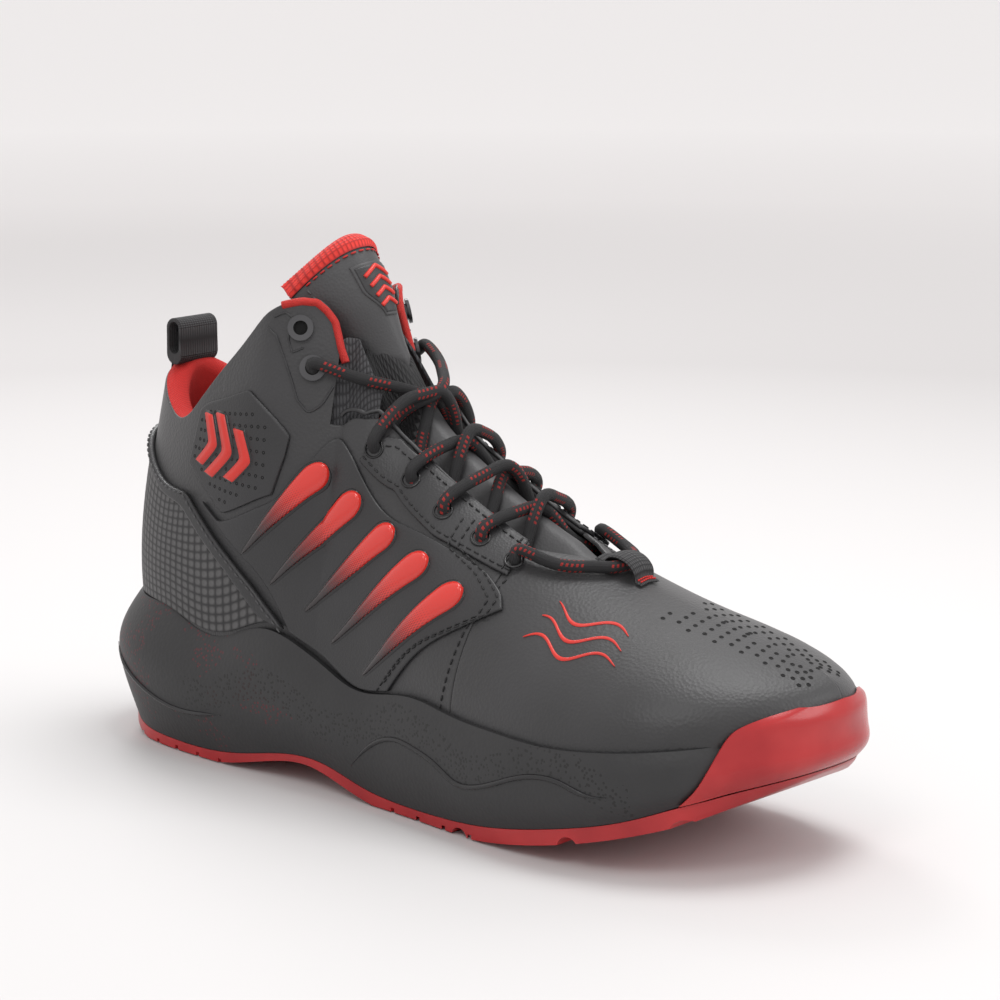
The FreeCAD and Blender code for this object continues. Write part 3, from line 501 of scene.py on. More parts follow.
class Look:
    """A material, its shader and what feeds them."""

    def __init__(self, name, colour, rough):
        self.mat = bpy.data.materials.new(name)
        self.mat.use_nodes = True
        self.tree = self.mat.node_tree
        self.shader = self.tree.nodes["Principled BSDF"]
        self.set("Base Color", (*colour, 1))
        self.set("Roughness", rough)

    def set(self, key, value):
        if isinstance(value, Wire):
            self.tree.links.new(value.socket, self.shader.inputs[key])
        else:
            self.shader.inputs[key].default_value = value

    def mapped(self, kind, source="Object", **inputs):
        """Node that reads texture coordinates."""
        coords = self.tree.nodes.new("ShaderNodeTexCoord")
        n = self.tree.nodes.new(kind)
        self.tree.links.new(coords.outputs[source], n.inputs["Vector"])
        for key, value in inputs.items():
            n.inputs[key].default_value = value
        return n

    def noise(self, scale, detail=3.0):
        return Wire(self.tree, self.mapped("ShaderNodeTexNoise", Scale=scale, Detail=detail).outputs[0])

    def cells(self, scale):
        return Wire(self.tree, self.mapped("ShaderNodeTexVoronoi", Scale=scale).outputs["Distance"])

    def axes(self, source):
        return [Wire(self.tree, out) for out in self.mapped("ShaderNodeSeparateXYZ", source).outputs]

    def ramp(self, factor, *stops):
        n = self.tree.nodes.new("ShaderNodeValToRGB")
        while len(n.color_ramp.elements) < len(stops):
            n.color_ramp.elements.new(0.5)
        for element, (place, colour) in zip(n.color_ramp.elements, stops):
            element.position = place
            element.color = (*colour, 1)
        self.tree.links.new(factor.socket, n.inputs[0])
        return Wire(self.tree, n.outputs[0])

    def paint(self, factor, under, colour):
        """Colour laid over another one by a factor."""
        n = self.tree.nodes.new("ShaderNodeMix")
        n.data_type = "RGBA"
        self.tree.links.new(factor.socket, n.inputs[0])
        self.tree.links.new(under.socket, n.inputs[6])
        n.inputs[7].default_value = (*colour, 1)
        return Wire(self.tree, n.outputs[2])

    def bump(self, height, strength, distance):
        n = self.tree.nodes.new("ShaderNodeBump")
        n.inputs["Strength"].default_value = strength
        n.inputs["Distance"].default_value = distance
        self.tree.links.new(height.socket, n.inputs["Height"])
        self.set("Normal", Wire(self.tree, n.outputs[0]))


def leather(name, dark, light, rough, grain=900, strength=0.35, sheen=0.0, metallic=0.0):
    """Grained leather: cells for the pores, slow noise for wear in colour and gloss."""
    look = Look(name, dark, rough)
    slow = look.noise(28)
    look.set("Base Color", look.ramp(slow, (0.3, dark), (0.75, light)))
    look.set("Roughness", slow * 0.22 + (rough - 0.1))
    look.set("Sheen Weight", sheen)
    look.set("Metallic", metallic)
    look.bump(look.cells(grain), strength, 0.00025)
    return look.mat


def weave(name, dark, light, pitch, rough, strength, diagonal=True, source="UV"):
    """Two sets of crossed threads; pitch in metres."""
    look = Look(name, dark, rough)
    x, y = look.axes(source)[:2]
    if diagonal:
        x, y = x + y, x - y
    height = (x * (math.pi / pitch)).sine().size() * (y * (math.pi / pitch)).sine().size()
    # painted shade and painted highlight: the colour runs from dark in the gaps between the threads to light
    # on their crests
    look.set("Base Color", look.ramp(height, (0.05, dark), (0.7, light)))
    look.bump(height, strength, 0.0004)
    return look.mat


def speckled(name, dark, light):
    """Foam with fine pits, red specks that thicken toward the heel, and a band whose pits are painted near
    black as their shade.
    """
    look = Look(name, dark, 0.52)
    cells = look.cells(700)
    x, y, z = look.axes("Object")
    heel = ((x * -1.0 - 0.035) * 14.0).step("MAXIMUM", -1.0).step("MINIMUM", 0.13)
    speck = (cells < 0.30) * (look.noise(55) + heel > 0.672)
    foam = look.ramp(look.noise(30), (0.3, dark), (0.7, light))
    # the band follows the wave line, a little above it
    height = z - ((x * 94.0 + 0.16).sine() * 0.0045 + 0.0283)
    # painted shade: cells in the band above the wave line are darkened to stand for shadow inside the pits
    pit_shade = (height.size() < 0.0055) * ((x - 0.01).size() < 0.10) * (cells < 0.34)
    specked = look.paint(speck, foam, (0.075, 0.008, 0.013))
    look.set("Base Color", look.paint(pit_shade * 0.85, specked, (0.004, 0.004, 0.004)))
    look.bump(cells, 0.22, 0.0003)
    return look.mat


def rubber(name, dark, light, rough, transmission, scale, strength, grain):
    look = Look(name, dark, rough)
    look.set("Base Color", look.ramp(look.noise(scale), (0.3, dark), (0.7, light)))
    if transmission:
        look.set("Transmission Weight", transmission)
        look.set("IOR", 1.45)
    look.bump(look.noise(grain, 2), strength, 0.0002)
    return look.mat


def gel(name):
    """Red head that fades to a dark tail through a screen of dots."""
    look = Look(name, RED, 0.22)
    u, v = look.axes("UV")[:2]
    shade = v + (u * 60.0).sine() * (v * 150.0).sine() * 0.14
    look.set("Base Color", look.ramp(shade, (0.30, (0.014, 0.009, 0.010)), (0.50, (0.22, 0.008, 0.007)),
                                     (0.68, (0.62, 0.026, 0.017))))
    look.set("Coat Weight", 0.4)
    look.bump(look.noise(900), 0.08, 0.0002)
    return look.mat


def braid(name):
    """Cord of crossed yarns with rows of red flecks."""
    look = Look(name, SOOT, 0.75)
    turn, run = [axis * (2 * math.pi) for axis in look.axes("UV")[:2]]
    yarns = (turn * 4.0 + run * 26.0).sine().size() * (turn * 4.0 + run * -26.0).sine().size()
    spot = ((turn * 5.0).step("COSINE") > 0.25) * ((run * 6.4 + turn * 2.0).sine() > 0.1)
    fleck = spot * ((run * 0.62).sine() > 0.05)
    # painted shade and painted highlight: the cord is dark in the gaps between yarns and lighter on their
    # crests
    cord = look.ramp(yarns, (0.05, (0.005, 0.005, 0.006)), (0.7, (0.036, 0.036, 0.038)))
    look.set("Base Color", look.paint(fleck, cord, (0.42, 0.018, 0.014)))
    look.bump(yarns, 0.8, 0.0004)
    return look.mat


BLACK, SOOT = (0.012, 0.012, 0.013), (0.022, 0.022, 0.023)
RED, DEEP_RED = (0.58, 0.018, 0.013), (0.34, 0.008, 0.007)
M = {
    "upper": leather("upper_leather", SOOT, (0.032, 0.032, 0.034), 0.45, sheen=0.10),
    "overlay": leather("overlay_leather", (0.017, 0.017, 0.018), (0.026, 0.026, 0.028), 0.42, 1300, 0.25),
    "tongue": leather("tongue_leather", (0.038, 0.038, 0.040), (0.050, 0.050, 0.052), 0.48, 1100, 0.25),
    "lining": weave("red_lining", DEEP_RED, RED, 0.0011, 0.85, 0.5),
    "lining_object": weave("red_lining_plain", DEEP_RED, RED, 0.0012, 0.85, 0.5, source="Object"),
    "mesh": weave("black_mesh", BLACK, SOOT, 0.0018, 0.8, 0.8),
    # the heel weave's light colour is set high as a painted highlight on the thread crests
    "weave": weave("heel_weave", (0.008, 0.008, 0.009), (0.075, 0.074, 0.075), 0.0037, 0.55, 0.8, False),
    "webbing": weave("webbing", BLACK, (0.050, 0.050, 0.052), 0.0011, 0.85, 0.6, False),
    "trim": weave("red_tape", DEEP_RED, (0.66, 0.028, 0.018), 0.0016, 0.7, 0.5, False),
    "foam": rubber("padding_foam", (0.22, 0.21, 0.20), (0.34, 0.33, 0.32), 0.9, 0, 400, 0.5, 1500),
    "midsole": speckled("midsole_foam", (0.015, 0.015, 0.016), (0.023, 0.023, 0.024)),
    "outsole": rubber("outsole_rubber", (0.36, 0.012, 0.016), (0.52, 0.028, 0.030), 0.30, 0.15, 40, 0.1,
                      600),
    "bumper": rubber("bumper_rubber", (0.40, 0.016, 0.020), (0.58, 0.040, 0.040), 0.25, 0.20, 40, 0.08,
                     500),
    "board": rubber("fibre_board", (0.36, 0.33, 0.28), (0.50, 0.47, 0.40), 0.85, 0, 300, 0.3, 1200),
    "carbon": weave("carbon_plate", (0.01, 0.01, 0.011), (0.05, 0.05, 0.055), 0.003, 0.3, 0.3,
                    source="Object"),
    "sock": weave("sock_knit", (0.02, 0.02, 0.022), (0.06, 0.06, 0.064), 0.0016, 0.85, 0.6,
                  source="Object"),
    "gloss": leather("gloss_black", (0.007, 0.007, 0.008), (0.012, 0.012, 0.013), 0.24, 2600, 0.06),
    "metal": leather("eyelet_enamel", (0.065, 0.065, 0.068), (0.10, 0.10, 0.104), 0.30, 3000, 0.05,
                     metallic=0.85),
    "red_gloss": leather("red_gloss", (0.55, 0.020, 0.013), (0.65, 0.030, 0.018), 0.35, 2600, 0.06),
    # painted shade: near black to stand for the shadowed insides of holes
    "hole": leather("perforation", (0.003, 0.003, 0.003), (0.006, 0.006, 0.006), 0.9, 3000, 0.1),
    "thread_dark": leather("thread_dark", (0.006, 0.006, 0.007), (0.014, 0.014, 0.015), 0.6, 4000, 0.3),
    "thread_grey": leather("thread_grey", (0.05, 0.05, 0.052), (0.075, 0.075, 0.077), 0.6, 4000, 0.3),
    "thread_red": leather("thread_red", DEEP_RED, RED, 0.6, 4000, 0.3),
    "pod": gel("pod_gel"),
    "lace": braid("lace_braid"),
}

# ---- CAD nodes that are shown as they are ---------------------------------------
FINISH = {"midsole": "midsole", "outsole": "outsole", "toe_bumper": "bumper", "shank": "carbon",
          "strobel_board": "board", "heel_counter": "board", "toe_puff": "board", "sockliner": "sock",
          "vamp_lining": "lining_object", "collar_foam": "foam", "wing_foam_lateral": "foam",
          "wing_foam_medial": "foam", "eyelet_rings": "metal"}
for name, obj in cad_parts.items():
    obj.data.materials.clear()
    obj.data.materials.append(M[FINISH.get(name, "upper")])

# ---- upper panels -----------------------------------------------------------------
SIDES = {"lateral": -1, "medial": 1}
LOW_T = -0.97
SHELL_OUT, SHELL_IN = -0.05, -1.5
CREST = 0.066
TOPLINE = [(0.0, 0.965), (0.10, 0.955), (0.159, 0.955), (0.193, 0.981), (0.216, 1.005), (0.2645, 1.0365)]
NOTCH = [(0.428, 0.671), (0.441, 0.747), (0.455, 0.791), (0.471, 0.823), (0.495, 0.842),
         (0.538, 0.840), (0.604, 0.845)]
WING_TOP = [(0.262, 1.035), (0.311, 1.056), (0.341, 0.997), (0.359, 0.964), (0.372, 0.924),
            (0.382, 0.871), (0.391, 0.818), (0.398, 0.745), (0.404, 0.70)]
STRAP_HIGH = [(0, 0.745), (0.083, 0.731), (0.213, 0.633), (0.291, 0.328), (0.34, 0.115), (0.362, CREST)]
BAND_LOW = [(0, 0.715), (0.083, 0.70), (0.207, 0.575), (0.287, 0.287), (0.332, 0.07), (0.347, CREST)]
OVERLAY_LOW = [(0.368, CREST), (0.43, CREST), (0.502, CREST)]
OVERLAY_HIGH = [(0.246, 0.565), (0.274, 0.465), (0.342, 0.437), (0.367, 0.49), (0.40, 0.558), (0.44, 0.565),
                (0.53, 0.612), (0.588, 0.640), (0.612, 0.600), (0.621, 0.545)]
EYESTAY_LOW = [(0.430, 0.580), (0.47, 0.655), (0.53, 0.622), (0.58, 0.655), (0.607, 0.67)]
EYESTAY_HIGH = [(0.441, 0.70), (0.459, 0.785), (0.496, 0.832), (0.537, 0.836), (0.603, 0.840)]
PATCH_LOW = [(0.212, 0.75), (0.277, 0.492), (0.341, 0.46)]
PATCH_HIGH = [(0.226, 0.945), (0.24, 0.945), (0.305, 0.842), (0.357, 0.602), (0.353, 0.55)]
LACE_HOLES = [(0.441, 0.660), (0.485, 0.729), (0.529, 0.718), (0.568, 0.728), (0.605, 0.735)]
EYELETS = [(0.358, 0.882), (0.372, 0.745)]


def vamp_mesh():
    """Vamp and toe in one piece, from the lateral sole edge over the crest to the medial one."""
    t = np.linspace(LOW_T, 1.0, 34)
    side = np.repeat([-1.0, 1.0], [len(t), len(t) - 1])
    t = np.concatenate([t, t[-2::-1]])
    rear = np.interp(t, [LOW_T, 0.847, 0.878, 0.937, 1.0], [0.566, 0.604, 0.628, 0.649, 0.667])
    u = np.concatenate([[0, 0.0004, 0.0015, 0.003, 0.006], np.linspace(0.02, 1, 60)])[:, None]
    s = mix(rear, 1.0, u)
    fall = rounding(0.7, (s - rear) * 320)
    points, faces, slots = closed_sheet(xyz(side, s, t, SHELL_OUT - fall), xyz(side, s, t, SHELL_IN), 1)
    uv = flat_uv(s, t)
    obj = add_mesh("vamp_skin", points, [f[::-1] for f in faces], "upper lining", slots, [uv, uv], "shoe")
    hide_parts("vamp")


vamp_mesh()

SIDE_TOP = WING_TOP[:-2] + [(0.3965, 0.765), (0.390, 0.715), (0.384, 0.66), (0.3855, 0.605), (0.392, 0.578),
                            (0.403, 0.573)] + NOTCH
PAD_TOP = [(a - 0.002 - 0.022 * smooth(0.80, 0.74, b), b - 0.008) for a, b in WING_TOP]
for label, side in SIDES.items():
    panel(f"quarter_skin_{label}", side, [(0.264, LOW_T), (0.5665, LOW_T)], SIDE_TOP, SHELL_IN, SHELL_OUT,
          "upper mesh", 150, 50, 0.5, [f"mid_quarter_{label}", f"collar_wing_{label}"], 1)
    panel(f"wing_pad_{label}", side, [(0.262, 0.56), (0.370, 0.60)], PAD_TOP, -5.6, -1.45, "lining",
          60, 40, 1.8, [f"wing_foam_{label}", f"wing_lining_{label}"])
    panel(f"gusset_mesh_{label}", side, [(0.374, 0.50), (0.437, 0.55)],
          [(0.378, 0.72), (0.40, 0.775), (0.437, 0.80)], -3.5, -2.5, "sock",
          40, 30, 0.4, [f"gusset_{label}"])
    for name, node, low, high, outer, nu, nv, radius in (
            ("overlay_skin", "quarter_overlay", OVERLAY_LOW, OVERLAY_HIGH, 1.3, 80, 40, 0.7),
            ("eyestay_skin", "eyestay", EYESTAY_LOW, EYESTAY_HIGH, 1.35, 70, 18, 0.7),
            ("patch_skin", "ankle_patch", PATCH_LOW, PATCH_HIGH, 1.1, 50, 34, 0.9)):
        panel(f"{name}_{label}", side, low, high, 0.0, outer, "overlay", nu, nv, radius,
              [f"{node}_{label}"])

panel("heel_skin", 1, around_heel([(0, LOW_T), (0.2645, LOW_T)]), around_heel(TOPLINE), SHELL_IN, SHELL_OUT,
      "upper", 150, 40, 0.5, ["heel_quarter_lateral", "heel_quarter_medial"])
panel("heel_weave_skin", 1, around_heel([(0, CREST), (0.34, CREST)]),
      around_heel(BAND_LOW[:-1] + [(0.345, CREST + 0.02)]), 0.0, 1.15, "weave", 150, 34, 0.5,
      ["heel_panel"])
panel("strap_skin", 1, around_heel(BAND_LOW), around_heel(STRAP_HIGH), 0.0, 2.5, "overlay", 170, 12, 1.2,
      ["heel_strap"])


# ---- padded collar: leather over the rim, red lining inside ---------------------------
def collar():
    s = np.linspace(-0.268, 0.268, 121)
    rim = np.interp(np.abs(s), *zip(*TOPLINE))
    end = smooth(0.268, 0.215, np.abs(s))
    rise = mix(0.9, 2.2, end) + 3.4 * smooth(-0.10, 0.02, s) * smooth(0.268, 0.20, s)
    thick = mix(5.4, 8.6, end)
    base, n = skin(1, s, rim - 0.012, -0.1 - thick / 2)
    up = xyz(1, s, rim + 0.02) - xyz(1, s, rim)
    up /= np.linalg.norm(up, axis=1, keepdims=True)
    rows = []
    for a in np.linspace(0, math.pi, 15):
        rows.append(base + n * (thick / 2 * math.cos(a))[:, None] + up * (rise * math.sin(a))[:, None])
    for w in np.linspace(0.04, 1, 26):
        t = mix(rim - 0.012, -0.9, w)
        rows.append(xyz(1, s, t, -0.1 - mix(3.7, thick, smooth(0.3, 0.6, t))))
    grid = np.array(rows)
    strip = len(s) - 1
    slots = [0] * strip + [1] * (strip * (len(rows) - 2))
    arc = np.cumsum(np.linalg.norm(np.diff(grid, axis=0, prepend=grid[:1]), axis=-1).mean(1))
    uv = pair(s * STATION_M, arc[:, None] * MM)
    obj = add_mesh("collar_roll", grid, grid_faces(len(rows), len(s)), "upper lining", slots, uv, "shoe")
    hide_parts("collar_lining")
    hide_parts("collar_foam")


collar()

# piping on the wings' front and top edges, two raised lines on each wing, bead round notch and throat
for label, side in SIDES.items():
    tube = surface_tube(f"piping_{label}", side, [
        (0.338, 1.000), (0.345, 0.984), (0.357, 0.958), (0.370, 0.918), (0.380, 0.866), (0.389, 0.815),
        (0.396, 0.745), (0.4005, 0.715)], 90, -0.6, 1.45, "trim", 10)
    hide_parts(f"wing_piping_{label}")
    surface_tube(f"wing_line_{label}", side, [
        (0.322, 0.985), (0.335, 0.92), (0.343, 0.85), (0.353, 0.76), (0.360, 0.69), (0.372, 0.635),
        (0.384, 0.632), (0.393, 0.665)], 60, -0.02, 0.42)
    surface_tube(f"wing_scroll_{label}", side, [
        (0.330, 0.99), (0.343, 0.965), (0.350, 0.93), (0.3475, 0.88), (0.352, 0.83), (0.362, 0.82)],
        60, -0.02, 0.36)
    surface_tube(f"throat_bead_{label}", side, [
        (0.402, 0.60), (0.412, 0.63), (0.428, 0.683), (0.438, 0.748), (0.452, 0.786), (0.470, 0.818),
        (0.495, 0.836), (0.538, 0.834), (0.602, 0.838)], 90, 0.55, 0.75)


# ---- pods -------------------------------------------------------------------------------
TEAR_TIPS = [(0.308, 0.322), (0.344, 0.192), (0.388, 0.155), (0.424, 0.128), (0.468, 0.115)]
TEAR_ENDS = [(0.3955, 0.4957), (0.4378, 0.5294), (0.4862, 0.5676), (0.5331, 0.5497), (0.5755, 0.5327)]


def local_axes(side, s, t):
    """Stations and heights per mm, along the two directions of the surface."""
    e = 0.01
    return (2 * e / np.linalg.norm(xyz(side, s + e, t) - xyz(side, s - e, t)),
            2 * e / np.linalg.norm(xyz(side, s, t + e) - xyz(side, s, t - e)))


def across_axis(side, a, b, w):
    """Centres at shares w of the way from a to b over the surface, and the step per mm square to it."""
    a, b = np.array(a), np.array(b)
    fine = np.linspace(0, 1, 60)
    st = mix(a, b, fine[:, None])
    run = run_length(xyz(side, st[:, 0], st[:, 1]))
    centre = mix(a, b, np.interp(w * run[-1], run, fine)[:, None])
    chord = mix(xyz(side, *a), xyz(side, *b), w[:, None])
    e = 0.006
    for _ in range(6):
        s, t = centre.T
        xs = (xyz(side, s + e, t) - xyz(side, s - e, t)) / (2 * e)
        xt = (xyz(side, s, t + e) - xyz(side, s, t - e)) / (2 * e)
        off = chord - xyz(side, s, t)
        ss, st_, tt = np.sum(xs * xs, 1), np.sum(xs * xt, 1), np.sum(xt * xt, 1)
        so, to = np.sum(xs * off, 1), np.sum(xt * off, 1)
        det = ss * tt - st_ * st_
        centre = centre + np.stack([tt * so - st_ * to, ss * to - st_ * so], -1) / det[:, None]
    axis = xyz(side, *b) - xyz(side, *a)
    step = np.stack([-np.sum(xt * axis, 1), np.sum(xs * axis, 1)], -1)
    size = np.linalg.norm(xs * step[:, :1] + xt * step[:, 1:], axis=1)
    return centre, step / size[:, None], run[-1]


def pods(label, side):
    """Five drops with dark rims: a growing tail up to the neck, then a round head."""
    neck, tail = 0.85, 0.02
    points, faces, uv, rim_points, rim_faces = [], [], [], [], []
    for a, b in zip(TEAR_TIPS, TEAR_ENDS):
        round_end = neck + 0.15 * np.sin(np.linspace(0, math.pi / 2, 9)[1:])
        w = np.concatenate([np.linspace(0, neck, 22), round_end])
        centre, over, _ = across_axis(side, a, b, w)
        half = 0.5 + 4.0 * (w / neck) ** 1.1
        head = half * np.sqrt(np.maximum(0, 1 - ((w - neck) / 0.15) ** 2)) + 0.02
        half = np.where(w < neck, half, head) * np.sqrt(np.clip(w / tail, 0.05, 1))
        v = np.sin(np.linspace(-math.pi / 2, math.pi / 2, 15))
        for grow, store, stack, lift in ((0.0, points, faces, 2.6), (0.9, rim_points, rim_faces, 0.9)):
            st = centre[:, None] + over[:, None] * ((half + grow)[:, None] * v)[..., None]
            dome = np.sqrt(np.maximum(0, 1 - v ** 2))[None, :] ** 0.8
            body = mix(0.55, 1.0, w)[:, None] * np.minimum(1, (half[:, None] + 0.5) / 2.5)
            stack += grid_faces(len(w), len(v), len(store), side < 0)
            store += xyz(side, st[..., 0], st[..., 1], 1.2 + lift * dome * body).reshape(-1, 3).tolist()
        uv.append(pair(v * 0.5 + 0.5, w[:, None]))
    obj = add_mesh(f"pods_gel_{label}", points, faces, "pod", None, uv, "shoe")
    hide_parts(f"pods_{label}")
    add_mesh(f"pods_rim_{label}", rim_points, rim_faces, "gloss")


for label, side in SIDES.items():
    pods(label, side)


# ---- emblem: three red chevrons on dark gloss ones --------------------------------------------
def emblem(label, side):
    a, b = (0.245, 0.80), (0.335, 0.545)
    centres, over, length = across_axis(side, a, b, np.array([0.0, 0.2, 0.47, 0.74, 1.0]))
    forth = (centres[-1] - centres[0]) / length
    for kind, grow, low, high in (("gloss", 0.5, 1.05, 1.6), ("red_gloss", 0.0, 1.1, 2.2)):
        points, faces = [], []
        for k, half in enumerate((9.5, 12.0, 9.5)):
            c, square = centres[k + 1], over[k + 1]
            v = np.linspace(-1, 1, 31)
            back = np.sqrt(v * v + 0.01) * (half + grow) * 0.7
            across_v = np.array([-0.5, -0.42, 0.42, 0.5]) * (5.0 + 2 * grow)
            st = (c + square * ((half + grow) * v)[:, None] - forth * back[:, None])[:, None]
            st = st + forth * across_v[None, :, None]
            lift = np.array([low, high, high, low])[None, :] * np.ones((31, 1))
            lift[[0, -1]] = low
            q = xyz(side, st[..., 0], st[..., 1], lift)
            faces += grid_faces(31, 4, len(points), side > 0)
            points += q.reshape(-1, 3).tolist()
        obj = add_mesh(f"emblem_{kind}_{label}", points, faces, kind)
        if kind == "red_gloss":
            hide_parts(f"emblem_{label}")


for label, side in SIDES.items():
    emblem(label, side)


# ---- tongue ---------------------------------------------------------------------------------
def tongue_face(s, t):
    near = np.minimum(t, 2 - t)
    return (-0.8 - 5.6 * smooth(0.985, 0.86, near)
            - 1.6 * smooth(0.625, 0.655, s) * smooth(0.86, 0.985, near))


def tongue_lower():
    edge = [(0.405, 0.748), (0.425, 0.732), (0.47, 0.71), (0.60, 0.71), (0.70, 0.80)]
    ridge = [(0.446, 1.0), (0.475, 1.0), (0.52, 1.0), (0.62, 1.0), (0.70, 1.0)]
    u, v = spread(60, 100, 2.2), spread(50, 60, 2.2)
    w = np.linspace(0, 1, 81)
    e, r = [sample(u, w, along(line, len(w))) for line in (edge, ridge)]
    st = mix(e[:, None], r[:, None], np.where(v <= 0.5, 2 * v, 2 - 2 * v)[:, None])
    side = np.where(v <= 0.5, -1.0, 1.0)
    s, t = st[..., 0], st[..., 1]
    f = tongue_face(s, t)
    groove = 0.9 * np.exp(-((np.abs(v - 0.5) - 0.30) / 0.012) ** 2)

    def place(offset):
        return xyz(side, s, t, offset)
    obj = slab_mesh("tongue_skin", place, f - groove, f - 5.0, "tongue lining_object mesh", 2.2, "shoe",
                    pair(s * STATION_M, v * 0.06), 1)
    for polygon in obj.data.polygons[:(len(u) - 1) * (len(v) - 1)]:
        row, column = divmod(polygon.index, len(v) - 1)
        if abs(v[column] - 0.5) > 0.31 * smooth(0.0, 0.22, u[row]):
            polygon.material_index = 2
    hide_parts("tongue_lower")


tongue_lower()

TONGUE_HALF = [(-0.62, 7.0), (-0.3, 10.5), (0, 13.3), (0.15, 14.6), (0.3, 16.1), (0.5, 17.9), (0.75, 19.8),
               (1.0, 20.8)]
tongue_x = Spline([128, 139, 149, 158, 172, 180], [-14.6, -22.3, -28.0, -32.0, -40.5, -46.0])


def tongue_top_point(u, v, depth=0.0):
    """Free end of the tongue, in mm: u 0 at the hinge to 1 at the top, v -1 to 1 across."""
    def place(u, v):
        z = mix(151.0, 180.5, u)
        drop = mix(2.0, 19.5, np.maximum(u, 0)) * np.abs(v) ** 2.2
        back = 21.0 * v * v
        half = np.interp(u, *zip(*TONGUE_HALF))
        return np.stack(np.broadcast_arrays(tongue_x(z) - back + drop * 0.35, 2.0 + half * v, z - drop), -1)
    a = place(u + 1e-3, v) - place(u - 1e-3, v)
    b = place(u, v + 1e-3) - place(u, v - 1e-3)
    n = np.cross(b, a)
    n /= np.linalg.norm(n, axis=-1, keepdims=True)
    return place(u, v) + n * np.asarray(depth)[..., None], n


def tongue_end():
    u = mix(-0.62, 0.93, spread(50, 46, 1.2))[:, None]
    v = mix(-1, 1, spread(44, 50, 2.2))[None, :]
    u, v = np.broadcast_arrays(u, v)
    tuck = -2.2 * smooth(-0.30, -0.50, u)

    def place(offset):
        return tongue_top_point(u, v, offset + tuck)[0]
    obj = slab_mesh("tongue_end_skin", place, 0.0, -4.8, "tongue lining_object", 2.0, None,
                    pair(u * 0.03, v * 0.025), 1, True)
    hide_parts("tongue_top")
    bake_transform(obj)
    # ribbed red binding over the top edge
    ribs, around = 150, 15
    a = np.linspace(-0.5 * math.pi, 0.5 * math.pi, around - 2)
    rows = []
    for w in np.linspace(0, 1, ribs):
        swell = 1.0 + 0.05 * math.cos(w * 150 * math.pi)
        front = np.concatenate([[0.86], 0.915 + 0.085 * np.cos(a) * swell, [0.86]])
        lift = np.concatenate([[0.45], -2.3 + 3.3 * np.sin(-a) * swell, [-5.1]])
        rows.append(tongue_top_point(front, mix(-0.985, 0.985, w), lift)[0])
    uv = pair(np.linspace(0, 0.05, ribs)[:, None], np.linspace(0, 0.012, around))
    last = (ribs - 1) * around
    faces = grid_faces(ribs, around) + [tuple(range(around)), tuple(range(last, last + around))[::-1]]
    obj = add_mesh("tongue_tape", rows, faces, "trim", None, uv, "tongue_end")
    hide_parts("tongue_binding")
    # badge: two stacked shields with four raised chevrons
    for name, low, high, size, key in (("tongue_badge_base", 0.0, 0.5, 1.0, "tongue"),
                                       ("tongue_badge_inner", 0.4, 0.8, 0.88, "overlay")):
        w = spread(20, 12, 0.6)
        uu = mix(0.42 - 0.29 * size, 0.42 + 0.29 * size, w)[:, None]
        vv = mix(-0.40 * size, 0.40 * size, w) * mix(0.45, 1.0, smooth(0, 0.55, w))[:, None]

        def place(offset, uu=uu, vv=vv):
            return tongue_top_point(uu, vv, offset)[0]
        obj = slab_mesh(name, place, high, low, key, 0.5, "tongue_end", flip=True)
        if key == "overlay":
            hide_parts("tongue_badge")
    for k in range(4):
        v = np.linspace(-0.19 - 0.025 * k, 0.19 + 0.025 * k, 25)
        p = tongue_top_point(0.24 + 0.115 * k + 0.07 * (1 - np.abs(v) / 0.2), v, 0.8)[0]
        tube_mesh(f"tongue_badge_line_{k}", p, 0.75, "red_gloss", 8, "tongue_end")
    # stitched edges
    for v in (-0.86, 0.86):
        add_stitches(*tongue_top_point(np.linspace(0.12, 0.84, 60), v), kind="thread_grey", body="tongue_end")
    add_stitches(*tongue_top_point(0.83, np.linspace(-0.86, 0.86, 90), 0.25), kind="thread_red",
                 body="tongue_end")


tongue_end()

# ---- lace: one cord, from the lateral eyelet down to the keeper and up to the medial one -------------
LACE_R = 2.0
OUT, IN = 1.35 + 0.35 + LACE_R, -(1.5 + 0.4 + LACE_R)


def frame_at(side, s, t):
    """Outward normal, and the direction of growing height square to it."""
    p, n = skin(side, s, t)
    step = xyz(side, s, t + 0.02) - p
    d = step - n * step.dot(n)
    return n, d / np.linalg.norm(d)


def hole_turn(side, s, t, rising):
    n, d = frame_at(side, s, t)
    r = (OUT - IN) / 2
    c = xyz(side, s, t, (OUT + IN) / 2) + d * r
    arc = [c - d * (r * math.cos(a)) - n * (r * math.sin(a)) for a in np.radians([70, 35, 0, -35, -70])]
    return arc if rising else arc[::-1]


